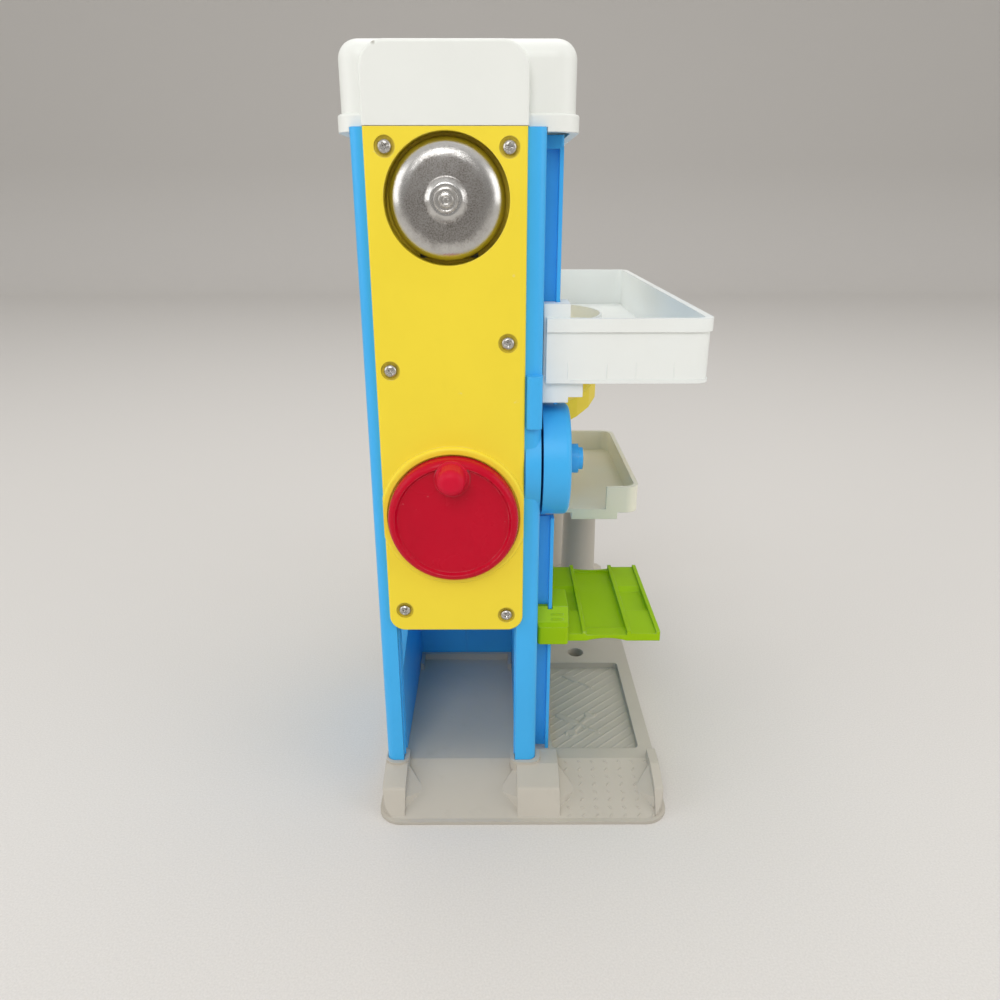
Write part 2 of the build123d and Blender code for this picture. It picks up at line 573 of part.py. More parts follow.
def striker_cam():
    """Four blunt lobes that flick the striker's tail."""
    y0 = PLATE_FRONT - 2.6
    y1 = PLATE_FRONT - 1.0
    cam = rod_y(y0, y1, SHAFT_AXIS, CRANK_Z, 7)
    for turn in range(0, 360, 90):
        lobe = block(SHAFT_AXIS - 2, SHAFT_AXIS + 2, y0, y1, CRANK_Z, CRANK_Z + 10)
        cam += Pos(SHAFT_AXIS, 0, CRANK_Z) * Rot(0, turn, 0) * Pos(-SHAFT_AXIS, 0, -CRANK_Z) * lobe
    return cam - rod_y(y0 - 1, y1 + 1, SHAFT_AXIS, CRANK_Z, AXLE_RADIUS)


def cord_spool():
    y0 = PLATE_BACK + 0.6
    y1 = y0 + SPOOL_WIDTH
    spool = rod_y(y0, y1, SHAFT_AXIS, CRANK_Z, SPOOL_FLANGE)
    spool -= rod_y(y0 + 1.5, y1 - 1.5, SHAFT_AXIS, CRANK_Z, SPOOL_FLANGE + 1) \
        - rod_y(y0, y1, SHAFT_AXIS, CRANK_Z, SPOOL_CORE)
    return spool - rod_y(y0 - 1, y1 + 1, SHAFT_AXIS, CRANK_Z, AXLE_RADIUS)


def panel_screws():
    screws = []
    for x, z in PANEL_SCREWS:
        head = rod_y(PANEL_FRONT - 0.4, PANEL_FRONT + 1.2, x, z, SCREW_HEAD)
        head = fillet(head.faces().sort_by(Axis.Y)[0].edges(), 0.7)
        length = PLATE_BACK if z < PANEL_TOP - 4 else PLATE_FRONT
        screws.append(head + rod_y(PANEL_FRONT + 1, length, x, z, SCREW_SHANK))
    return Compound(screws)


# ---------------------------------------------------------------- car lift in the tower
def pulley_place():
    """The cord climbs beside the spool and turns over the pulley to the shaft."""
    x = SHAFT_AXIS + SPOOL_CORE + CORD_RADIUS + SEAT
    y = cord_climb() + PULLEY_RADIUS
    return x, y


def cord_climb():
    return PLATE_BACK + 0.6 + SPOOL_WIDTH / 2


def top_pulley():
    x, y = pulley_place()
    half = PULLEY_WIDTH / 2
    flange = PULLEY_RADIUS + 1.5
    groove = PULLEY_RADIUS - CORD_RADIUS - 0.1
    pulley = rod_x(x - half, x + half, y, PULLEY_Z, flange)
    pulley -= rod_x(x - half + 1, x + half - 1, y, PULLEY_Z, flange + 1) \
        - rod_x(x - half, x + half, y, PULLEY_Z, groove)
    return pulley - rod_x(x - half - 1, x + half + 1, y, PULLEY_Z, PULLEY_PIN + FIT)


def pulley_pin():
    x, y = pulley_place()
    reach = PULLEY_WIDTH / 2 + RUNNING_GAP + 2
    return rod_x(x - reach, x + reach, y, PULLEY_Z, PULLEY_PIN)


def hoist_cord_riser():
    """From the spool up and over the pulley, one unbroken run."""
    x, y = pulley_place()
    climb = cord_climb()
    fall = y + PULLEY_RADIUS
    with BuildLine() as route:
        Line((x, climb, CRANK_Z), (x, climb, PULLEY_Z))
        ThreePointArc((x, climb, PULLEY_Z), (x, y, PULLEY_Z + PULLEY_RADIUS), (x, fall, PULLEY_Z))
    section = Plane((x, climb, CRANK_Z), z_dir=(0, 0, 1)) * Circle(CORD_RADIUS)
    return sweep(section, path=route.wire())


def hoist_cord_drop():
    x, y = pulley_place()
    eye = UPPER_FLOOR + 20
    return rod_z(eye, PULLEY_Z, x, y + PULLEY_RADIUS, CORD_RADIUS)


def car_lift_platform():
    left = SHAFT_LEFT + RUNNING_GAP
    right = SHAFT_RIGHT - RUNNING_GAP
    front = PLATE_BACK + 0.6 + SPOOL_WIDTH + 2.0
    back = SHAFT_BACK - RUNNING_GAP
    rim = 6.0
    plate = block(left, right, front, back, UPPER_FLOOR - 2.4, UPPER_FLOOR)
    plate += block(left, left + 2, front, back, UPPER_FLOOR - 1, UPPER_FLOOR + rim)
    plate += block(right - 2, right, front, back, UPPER_FLOOR - 1, UPPER_FLOOR + rim)
    plate += block(left, right, front, front + 2, UPPER_FLOOR - 1, UPPER_FLOOR + rim)
    x, y = pulley_place()
    fall = y + PULLEY_RADIUS
    plate += block(x - 3, x + 3, front, fall + 2.5, UPPER_FLOOR - 1, UPPER_FLOOR + 20)
    return plate


# ---------------------------------------------------------------- service lift outside
def gear_outline(teeth):
    """One tooth repeated round: root, flank, tip, flank."""
    root = PITCH_RADIUS - 1.2 * GEAR_MODULE
    tip = PITCH_RADIUS + 0.9 * GEAR_MODULE
    points = []
    for index in range(teeth):
        middle = 360 * index / teeth
        for radius, offset in ((root, -0.31), (tip, -0.09), (tip, 0.09), (root, 0.31)):
            angle = math.radians(middle + offset * 360 / teeth)
            points.append((radius * math.cos(angle), radius * math.sin(angle)))
    return make_face(Polyline(points, close=True))


def lift_pinion():
    x1 = TOWER_RIGHT - 2
    gear = extrude(Plane.YZ.offset(x1 - GEAR_WIDTH) * gear_outline(GEAR_TEETH), GEAR_WIDTH)
    gear = Pos(0, KNOB_Y, KNOB_Z) * gear
    return gear - rod_x(-10, 20, KNOB_Y, KNOB_Z, AXLE_RADIUS)


def knob_axle():
    return rod_x(SHAFT_RIGHT + 1, KNOB_START + KNOB_WIDTH - 3, KNOB_Y, KNOB_Z, AXLE_RADIUS)


def lift_knob():
    """A cup-shaped hand wheel with a hub and finger scallops."""
    x1 = KNOB_START + KNOB_WIDTH
    knob = rod_x(KNOB_START, x1, KNOB_Y, KNOB_Z, KNOB_RADIUS)
    knob = fillet(knob.faces().sort_by(Axis.X)[-1].edges(), 3)
    knob -= rod_x(x1 - 6, x1 + 1, KNOB_Y, KNOB_Z, KNOB_RADIUS - 6)
    knob += rod_x(KNOB_START, x1 + 6, KNOB_Y, KNOB_Z, KNOB_HUB)
    knob += rod_x(x1 + 5, x1 + 8.6, KNOB_Y, KNOB_Z, KNOB_HUB - 2)
    for turn in range(0, 360, 60):
        spoke = block(KNOB_START, x1 - 1.5, KNOB_Y - 1.2, KNOB_Y + 1.2, KNOB_Z + KNOB_HUB - 1,
                      KNOB_Z + KNOB_RADIUS - 5)
        knob += Pos(0, KNOB_Y, KNOB_Z) * Rot(turn, 0, 0) * Pos(0, -KNOB_Y, -KNOB_Z) * spoke
    return knob - rod_x(-10, x1 - 3, KNOB_Y, KNOB_Z, AXLE_RADIUS)


def rack():
    """The toothed bar of the service lift; a tooth space meets the pinion at rest."""
    x1 = TOWER_RIGHT - 2
    root = RACK_LINE + 1.2 * GEAR_MODULE
    tip = RACK_LINE - 0.9 * GEAR_MODULE
    back = root + RACK_BACKING - 2
    points = [(back, RACK_HIGH), (back, SERVICE_FLOOR), (root, SERVICE_FLOOR)]
    for index in range(TEETH_BELOW + TEETH_ABOVE):
        middle = RACK_LOW + TOOTH_PITCH * index
        for y, offset in ((root, -0.36), (tip, -0.12), (tip, 0.12), (root, 0.36)):
            points.append((y, middle + offset * TOOTH_PITCH))
    points.append((root, RACK_HIGH))
    return side_profile(points, x1 - GEAR_WIDTH, x1)


def service_lift_platform():
    floor = SERVICE_FLOOR
    out = RAIL_OUT + 0.6
    low = floor - 2.5
    near = SERVICE_FRONT + 4
    deck = block(out, SERVICE_RIGHT, near, SERVICE_BACK, low, floor)
    # two wheel tracks, each raised at both ends with a cradle between
    inner_left, inner_right = TRACK_RIBS
    tracks = ((SERVICE_LEFT, inner_left), (inner_right, SERVICE_RIGHT))
    for x0, x1 in tracks:
        for y0, y1 in ((near, CRADLE_FRONT), (CRADLE_BACK, SERVICE_BACK)):
            deck += block(x0, x1, y0, y1, floor - 1, floor + TRACK_RISE)
        for y0, way in ((CRADLE_FRONT, 1), (CRADLE_BACK, -1)):
            wedge = [(y0 - way, floor - 1), (y0 - way, floor + TRACK_RISE), (y0, floor + TRACK_RISE),
                     (y0 + way * 5, floor - 0.5)]
            deck += side_profile(wedge, x0, x1)
    for x in (SERVICE_LEFT + 1.2, inner_left, inner_right, SERVICE_RIGHT - 1.2):
        deck += block(x - 1.2, x + 1.2, near, SERVICE_BACK, floor - 1, floor + TRACK_RIB)
    # sunk pan between the tracks, with an arched lip at both ends
    centre = (inner_left + inner_right) / 2
    pan = (inner_left + 1.2, inner_right - 1.2)
    deck += block(pan[0], pan[1], near, near + 9, floor - 1, floor + 1.6)
    deck += block(pan[0], pan[1], SERVICE_BACK - 4, SERVICE_BACK, floor - 1, floor + 1.2)
    deck -= rod_y(near - 1, near + 7, centre, low + 1.9 - ARCH_RADIUS, ARCH_RADIUS)
    deck -= rod_z(low - 1, floor + TRACK_RIB + 1, centre, SERVICE_BACK - 2.2 + ARCH_RADIUS, ARCH_RADIUS) \
        & block(pan[0], pan[1], SERVICE_BACK - 5, SERVICE_BACK + 1, low - 1, floor + TRACK_RIB + 1)
    # hooks round the two rails
    brow = floor + HOOK_HEIGHT
    hook_side = [(SERVICE_FRONT, low), (SERVICE_FRONT, floor + 9), (SERVICE_FRONT + 3, floor + 11),
                 (SERVICE_FRONT + 8.5, brow), (RACK_LINE + 6, brow), (RACK_LINE + 6, low)]
    hook = side_profile(hook_side, TOWER_RIGHT + 0.6, HOOK_RIGHT)
    hook = fillet(hook.faces().sort_by(Axis.Y)[0].edges().filter_by(Axis.Z)
                  + hook.faces().sort_by(Axis.X)[-1].edges().filter_by(Axis.Z), 2)
    for rise in (12.5, 15.0):
        ahead = SERVICE_FRONT + 3 + (rise - 11) * 5.5 / (HOOK_HEIGHT - 11)
        hook += rod_x(HOOK_RIGHT - 10, HOOK_RIGHT - 3, ahead, floor + rise, 0.5)
    hook += block(HOOK_RIGHT - 9, HOOK_RIGHT - 3, near + 1, near + 6, low - 2.5, low + 1)
    hook -= rails(0.4, floor - 12, floor + HOOK_HEIGHT + 5)
    rear = block(TOWER_RIGHT + 0.6, 24, RAIL_BACK - 10, SERVICE_BACK, low, floor + 10)
    rear -= rails(0.4, floor - 5, floor + 20)
    deck += hook
    deck += rear
    deck += block(out, out + 2.5, SERVICE_FRONT + 4, SERVICE_BACK, floor - 1, floor + 10)
    # arm from the hook to the rack in the wall
    deck += rack()
    deck += block(TOWER_RIGHT - 3, TOWER_RIGHT + 3, RACK_LINE + 2, RACK_LINE + 6, floor, floor + 10)
    return deck


# ---------------------------------------------------------------- decks
def spiral_bite(z0, z1):
    return rod_z(z0, z1, SPIRAL_X, SPIRAL_Y, SPIRAL_OUTER + 2)


def deck_hook(y0, y1, x1, z0, z1):
    hook = block(TOWER_RIGHT + 0.6, x1, y0, y1, z0, z1)
    return hook - rails(0.3, z0 - 1, z1 + 1)


def upper_deck():
    low = UPPER_FLOOR - 5
    rim = UPPER_FLOOR + UPPER_RIM
    tray = slab(UPPER_LEFT, UPPER_RIGHT, UPPER_FRONT, UPPER_BACK, low, rim, 8)
    inner = slab(UPPER_LEFT - 30, UPPER_RIGHT - DECK_WALL, UPPER_FRONT + DECK_WALL, UPPER_BACK - DECK_WALL,
                 UPPER_FLOOR, rim + 1, 6)
    inner -= block(UPPER_LEFT - 40, UPPER_LEFT + DECK_WALL, -200, -40, 0, 400)
    inner -= block(UPPER_LEFT - 40, UPPER_LEFT + DECK_WALL, 110, 200, 0, 400)
    tray -= inner
    under = slab(UPPER_LEFT + DECK_WALL, UPPER_RIGHT - DECK_WALL, UPPER_FRONT + DECK_WALL,
                 UPPER_BACK - DECK_WALL, low - 1, UPPER_FLOOR - FLOOR_THICK, 6)
    for y in range(-110, 160, 30):
        under -= block(UPPER_LEFT, UPPER_RIGHT, y - 1, y + 1, low, UPPER_FLOOR)
    for x in (UPPER_LEFT + 26, UPPER_LEFT + 52):
        under -= block(x - 1, x + 1, UPPER_FRONT, UPPER_BACK, low, UPPER_FLOOR)
    tray -= under
    foot_line = slab(UPPER_LEFT - 0.6, UPPER_RIGHT + 0.6, UPPER_FRONT - 0.6, UPPER_BACK + 0.6, low, low + 2, 8.6)
    foot_line -= slab(UPPER_LEFT + 1, UPPER_RIGHT - 1, UPPER_FRONT + 1, UPPER_BACK - 1, low - 1, low + 3, 7)
    tray += foot_line
    # band outside the rim
    step = slab(UPPER_LEFT - 1.2, UPPER_RIGHT + 1.2, UPPER_FRONT - 1.2, UPPER_BACK + 1.2, rim - 7, rim, 9)
    step -= slab(UPPER_LEFT + 1, UPPER_RIGHT - 1, UPPER_FRONT + 1, UPPER_BACK - 1, rim - 8, rim + 1, 7)
    step -= block(UPPER_LEFT - 10, UPPER_LEFT + DECK_WALL, -40, 110, 0, 400)
    tray += step
    tray += spiral_bite(low, UPPER_FLOOR + 8) & block(UPPER_LEFT, 90, -40, 110, low, rim)
    tray -= rod_z(low - 1, rim + 1, SPIRAL_X, SPIRAL_Y, SPIRAL_OUTER + 0.4)
    tray -= rails(RUNNING_GAP, low - 1, rim + 1)
    # the front wall and its band run on over the hook, and a stepped bracket hangs below
    tray += block(TOWER_RIGHT + 2, UPPER_LEFT + 9, UPPER_FRONT, UPPER_FRONT + DECK_WALL + 1, low, rim)
    tray += block(TOWER_RIGHT + 2, UPPER_LEFT + 9, UPPER_FRONT - 1.2, UPPER_FRONT + 1, rim - 7, rim)
    tray += block(UPPER_LEFT + 2, UPPER_LEFT + 12, UPPER_FRONT + 3, RAIL_FRONT, low - 8, low + 1)
    tray += deck_hook(UPPER_FRONT + 3, RAIL_FRONT + RAIL_WEB + 6, 22.6, low - 11, rim + 7)
    tray += deck_hook(RAIL_BACK - 10, RAIL_BACK + 8, 22.6, low - 13, rim - 7)
    x, y = column_places()[1]
    tray += rod_z(low, UPPER_FLOOR - 1, x, y, COLUMN_RADIUS + COLUMN_SOCKET)
    tray -= rod_z(low - 1, low + 2, x, y, COLUMN_RADIUS + SEAT)
    return tray


def lower_deck():
    low = LOWER_FLOOR - FLOOR_THICK
    rim = LOWER_FLOOR + LOWER_RIM
    tray = slab(LOWER_LEFT, LOWER_RIGHT, LOWER_FRONT, LOWER_BACK, low, rim, 9)
    tray -= slab(LOWER_LEFT - 20, LOWER_RIGHT - DECK_WALL, LOWER_FRONT + DECK_WALL, LOWER_BACK - DECK_WALL,
                 LOWER_FLOOR, rim + 1, 7)
    tray -= block(LOWER_LEFT - 1, 61, LOWER_FRONT - 1, LOWER_FRONT + 10, LOWER_FLOOR, rim + 1)
    # under-frame that carries the deck on its column
    frame = block(37, 69.3, LOWER_FRONT, LOWER_BACK - 6, low - 5, low + 1)
    frame -= block(40, 66.3, LOWER_FRONT + 3, LOWER_BACK - 9, low - 6, low)
    tray += frame
    x, y = column_places()[0]
    tray += rod_z(low - 5, low + 1, x, y, COLUMN_RADIUS + COLUMN_SOCKET)
    tray -= rod_z(low - 6, low - 3, x, y, COLUMN_RADIUS + SEAT)
    tray -= rod_z(low - 1, rim, SPIRAL_X, SPIRAL_Y, CORE_RADIUS + RUNNING_GAP)
    # low stop at the open side over the tower
    tray += block(LOWER_LEFT, LOWER_LEFT + DECK_WALL, LOWER_FRONT + 9, 30, low, LOWER_FLOOR + 5)
    return tray


def column(place, top):
    x, y = place
    height = top - BASE_TOP
    post = Pos(x, y, BASE_TOP + height / 2) * Cone(COLUMN_RADIUS + 2, COLUMN_RADIUS, height)
    return post


def deck_column():
    return column(column_places()[0], LOWER_FLOOR - FLOOR_THICK - 3)


def upper_deck_column():
    return column(column_places()[1], UPPER_FLOOR - 5 + 2)


def spiral_core():
    post = rod_z(BASE_TOP, UPPER_FLOOR - 12, SPIRAL_X, SPIRAL_Y, CORE_RADIUS)
    return post


def ramp_section(plane, z):
    """The ramp's cut: a floor, a low inner curb and a higher outer curb."""
    low = -SPIRAL_WALL
    inner, outer, wall = SPIRAL_INNER, SPIRAL_OUTER, SPIRAL_WALL
    points = [(inner, low), (outer, low), (outer, SPIRAL_CURB), (outer - wall, SPIRAL_CURB),
              (outer - wall, 0), (inner + wall, 0), (inner + wall, 5), (inner, 5)]
    outline = Polyline([plane.from_local_coords(Vector(across, up + z, 0)) for across, up in points], close=True)
    return make_face(outline)


def ramp_plane(angle):
    """The upright plane through the spiral's axis, turned to an angle."""
    turn = math.radians(angle)
    across = (math.cos(turn), math.sin(turn), 0)
    ahead = (math.sin(turn), -math.cos(turn), 0)
    return Plane(origin=(SPIRAL_X, SPIRAL_Y, 0), x_dir=across, z_dir=ahead)


def spiral_ramp():
    drop = UPPER_FLOOR - 0.2 - LOWER_FLOOR
    sections = []
    start = ramp_plane(180)
    door = SPIRAL_Y - TOWER_BACK - RUNNING_GAP
    sections.append(ramp_section(start.offset(-door), UPPER_FLOOR))
    steps = int(SPIRAL_TURN / SPIRAL_STEP)
    for index in range(steps + 1):
        angle = 180 - SPIRAL_STEP * index
        sections.append(ramp_section(ramp_plane(angle), UPPER_FLOOR - drop * index / steps))
    reach = LOWER_LEFT - SPIRAL_X - RUNNING_GAP
    sections.append(ramp_section(ramp_plane(180 - SPIRAL_TURN).offset(reach), UPPER_FLOOR - drop))
    return loft(sections, ruled=True)


NODES = {
    "base_tray": base_tray,
    "tower_left_half": tower_left_half,
    "tower_right_half": tower_right_half,
    "roof_cap": roof_cap,
    "bell_crank_panel": bell_crank_panel,
    "mechanism_plate": mechanism_plate,
    "bell_gong": bell_gong,
    "bell_screw": bell_screw,
    "bell_striker": bell_striker,
    "crank_wheel": crank_wheel,
    "crank_knob": crank_knob,
    "crank_axle": crank_axle,
    "striker_cam": striker_cam,
    "cord_spool": cord_spool,
    "panel_screws": panel_screws,
    "top_pulley": top_pulley,
    "pulley_pin": pulley_pin,
    "hoist_cord_riser": hoist_cord_riser,
    "hoist_cord_drop": hoist_cord_drop,
    "car_lift_platform": car_lift_platform,
    "lift_pinion": lift_pinion,
    "knob_axle": knob_axle,
    "lift_knob": lift_knob,
    "service_lift_platform": service_lift_platform,
    "upper_deck": upper_deck,
    "lower_deck": lower_deck,
    "deck_column": deck_column,
    "upper_deck_column": upper_deck_column,
    "spiral_core": spiral_core,
    "spiral_ramp": spiral_ramp,
}


def main():
    os.makedirs("parts", exist_ok=True)
    for name, make in NODES.items():
        save(name, make())


main()
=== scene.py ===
"""Looks of the toy parking garage: finishes, fine mouldings, light and camera.

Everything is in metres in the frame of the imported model: +X is the lift side,
+Y runs away from the bell face and +Z is up.
"""
import logging
import math
from dataclasses import dataclass
from enum import Enum

import bmesh
import bpy
import numpy as np
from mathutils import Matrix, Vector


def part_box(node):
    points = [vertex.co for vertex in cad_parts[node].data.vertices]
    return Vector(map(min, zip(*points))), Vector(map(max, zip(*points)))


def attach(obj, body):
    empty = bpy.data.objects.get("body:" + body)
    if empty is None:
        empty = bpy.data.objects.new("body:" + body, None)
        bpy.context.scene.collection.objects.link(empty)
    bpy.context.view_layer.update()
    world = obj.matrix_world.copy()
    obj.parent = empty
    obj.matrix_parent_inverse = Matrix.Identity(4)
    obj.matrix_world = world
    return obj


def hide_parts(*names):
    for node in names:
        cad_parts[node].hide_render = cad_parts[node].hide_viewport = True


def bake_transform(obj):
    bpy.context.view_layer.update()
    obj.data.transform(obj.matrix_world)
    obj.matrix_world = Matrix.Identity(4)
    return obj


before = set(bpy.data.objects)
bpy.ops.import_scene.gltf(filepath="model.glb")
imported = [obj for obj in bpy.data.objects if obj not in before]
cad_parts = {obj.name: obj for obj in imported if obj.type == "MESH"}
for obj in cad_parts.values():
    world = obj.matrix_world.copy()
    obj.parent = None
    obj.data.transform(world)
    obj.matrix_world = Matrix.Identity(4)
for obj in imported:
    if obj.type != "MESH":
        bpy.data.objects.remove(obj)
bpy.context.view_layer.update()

Pair = tuple[float, float]
Triple = tuple[float, float, float]
Colour = tuple[float, float, float, float]

MM = 0.001
DOUBLES_REACH = 1e-7
STRAIGHT = 1e-4
LOG = logging.getLogger("garage")


# ------------------------------------------------------------------ node trees
class Tree:
    """A material's node tree with short calls to add and join nodes."""

    def __init__(self, name: str) -> None:
        """Starts an empty material.

        Args:
            name: The material's name.
        """
        self.material = bpy.data.materials.new(name)
        self.material.use_nodes = True
        self.tree = self.material.node_tree
        self.tree.nodes.clear()
        self.output = self.add("ShaderNodeOutputMaterial")
        self.shader = self.add("ShaderNodeBsdfPrincipled")
        self.join(self.shader.outputs["BSDF"], self.output.inputs["Surface"])

    @classmethod
    def over(cls, tree: bpy.types.NodeTree) -> "Tree":
        """Gives the same calls for a tree that exists.

        Args:
            tree: The node tree.

        Returns:
            The tree with the calls.
        """
        made = cls.__new__(cls)
        made.tree = tree
        return made

    def add(self, kind: str, **values: object) -> bpy.types.Node:
        """Adds a node.

        Args:
            kind: The node's type name.
            **values: Attributes of the node.

        Returns:
            The new node.
        """
        node = self.tree.nodes.new(kind)
        for key, value in values.items():
            setattr(node, key, value)
        return node

    def join(self, source: bpy.types.NodeSocket, target: bpy.types.NodeSocket) -> None:
        """Links two sockets."""
        self.tree.links.new(source, target)

    def place(self, scale: Triple = (1.0, 1.0, 1.0), turn: Triple = (0.0, 0.0, 0.0)) -> bpy.types.NodeSocket:
        """Gives Object coordinates, scaled and turned.

        Args:
            scale: Stretch along each axis.
            turn: Turn about each axis, in radians.

        Returns:
            The vector socket.
        """
        where = self.add("ShaderNodeTexCoord")
        mapping = self.add("ShaderNodeMapping")
        mapping.inputs["Scale"].default_value = scale
        mapping.inputs["Rotation"].default_value = turn
        self.join(where.outputs["Object"], mapping.inputs["Vector"])
        return mapping.outputs["Vector"]

    def noise(self, vector: bpy.types.NodeSocket, scale: float, detail: float = 3.0,
              rough: float = 0.55) -> bpy.types.NodeSocket:
        """Gives a fractal noise value over a vector.

        Args:
            vector: The coordinates.
            scale: How fine the noise is.
            detail: Octaves of finer noise.
            rough: How much each finer octave counts.

        Returns:
            The value's socket, about 0.5 on average.
        """
        node = self.add("ShaderNodeTexNoise")
        node.inputs["Scale"].default_value = scale
        node.inputs["Detail"].default_value = detail
        node.inputs["Roughness"].default_value = rough
        self.join(vector, node.inputs["Vector"])
        return node.outputs["Fac"]

    def ramp(self, value: bpy.types.NodeSocket, low: float, high: float,
             out_low: float = 0.0, out_high: float = 1.0) -> bpy.types.NodeSocket:
        """Maps a value from one span to another, clamped.

        Args:
            value: The value.
            low: Start of its span.
            high: End of its span.
            out_low: What the start becomes.
            out_high: What the end becomes.

        Returns:
            The mapped value's socket.
        """
        node = self.add("ShaderNodeMapRange")
        node.inputs["From Min"].default_value = low
        node.inputs["From Max"].default_value = high
        node.inputs["To Min"].default_value = out_low
        node.inputs["To Max"].default_value = out_high
        self.join(value, node.inputs["Value"])
        return node.outputs["Result"]

    def mix(self, factor: bpy.types.NodeSocket, first: object, second: object) -> bpy.types.NodeSocket:
        """Mixes two colours, each a socket or a tuple.

        Args:
            factor: The share of the second.
            first: The first colour.
            second: The second colour.

        Returns:
            The mixed colour's socket.
        """
        node = self.add("ShaderNodeMix")
        node.data_type = "RGBA"
        self.join(factor, node.inputs["Factor"])
        for name, colour in (("A", first), ("B", second)):
            socket = next(s for s in node.inputs if s.name == name and s.type == "RGBA")
            if isinstance(colour, tuple):
                socket.default_value = colour
            else:
                self.join(colour, socket)
        return next(s for s in node.outputs if s.type == "RGBA")

    def maths(self, operation: str, first: object, second: object) -> bpy.types.NodeSocket:
        """Joins two values, each a socket or a number, by an operation.

        Args:
            operation: The operation's name.
            first: The first value.
            second: The second value.

        Returns:
            The result's socket.
        """
        node = self.add("ShaderNodeMath", operation=operation)
        for index, value in enumerate((first, second)):
            if isinstance(value, (int, float)):
                node.inputs[index].default_value = value
            else:
                self.join(value, node.inputs[index])
        return node.outputs[0]

    def edges(self, radius: float) -> tuple[bpy.types.NodeSocket, bpy.types.NodeSocket]:
        """Rounds sharp edges in the shading.

        Args:
            radius: The radius that an edge seems to have, in metres.

        Returns:
            The rounded normal, and a value that is 0 on flats and 1 on edges:
            one less the dot product of the rounded and the true normal, spread out.
        """
        bevel = self.add("ShaderNodeBevel", samples=4)
        bevel.inputs["Radius"].default_value = radius
        true = self.add("ShaderNodeNewGeometry")
        dot = self.add("ShaderNodeVectorMath", operation="DOT_PRODUCT")
        self.join(bevel.outputs["Normal"], dot.inputs[0])
        self.join(true.outputs["Normal"], dot.inputs[1])
        return bevel.outputs["Normal"], self.ramp(dot.outputs["Value"], 0.995, 0.86)

    def distance(self, point: Triple, scale: Triple = (1.0, 1.0, 1.0)) -> bpy.types.NodeSocket:
        """Gives the distance to a point, with each axis scaled first.

        Args:
            point: The point, in metres.
            scale: What each axis counts; 0 leaves it out.

        Returns:
            The distance socket.
        """
        node = self.add("ShaderNodeVectorMath", operation="DISTANCE")
        self.join(self.place(scale), node.inputs[0])
        node.inputs[1].default_value = tuple(part * share for part, share in zip(point, scale))
        return node.outputs["Value"]

    def bump(self, height: bpy.types.NodeSocket, strength: float, distance: float,
             under: bpy.types.NodeSocket | None = None) -> bpy.types.NodeSocket:
        """Turns a height into a normal.

        Args:
            height: The height's socket, 0 to 1.
            strength: How much of the relief shows.
            distance: How high a height of 1 stands, in metres.
            under: An earlier normal that the relief is laid over, if any.

        Returns:
            The normal's socket.
        """
        node = self.add("ShaderNodeBump")
        node.inputs["Strength"].default_value = strength
        node.inputs["Distance"].default_value = distance
        self.join(height, node.inputs["Height"])
        if under is not None:
            self.join(under, node.inputs["Normal"])
        return node.outputs["Normal"]


def linear(red: int, green: int, blue: int) -> Colour:
    """Turns an sRGB colour in 0 to 255 into a linear one.

    Args:
        red: Red part.
        green: Green part.
        blue: Blue part.

    Returns:
        The linear colour with alpha 1.
    """
    parts = []
    for value in (red, green, blue):
        share = value / 255
        parts.append(share / 12.92 if share <= 0.04045 else ((share + 0.055) / 1.055) ** 2.4)
    return (parts[0], parts[1], parts[2], 1.0)


def shaded(colour: Colour, factor: float) -> Colour:
    """Gives a colour made lighter or darker by a factor, capped at 1."""
    return tuple(min(1.0, part * factor) for part in colour[:3]) + (1.0,)


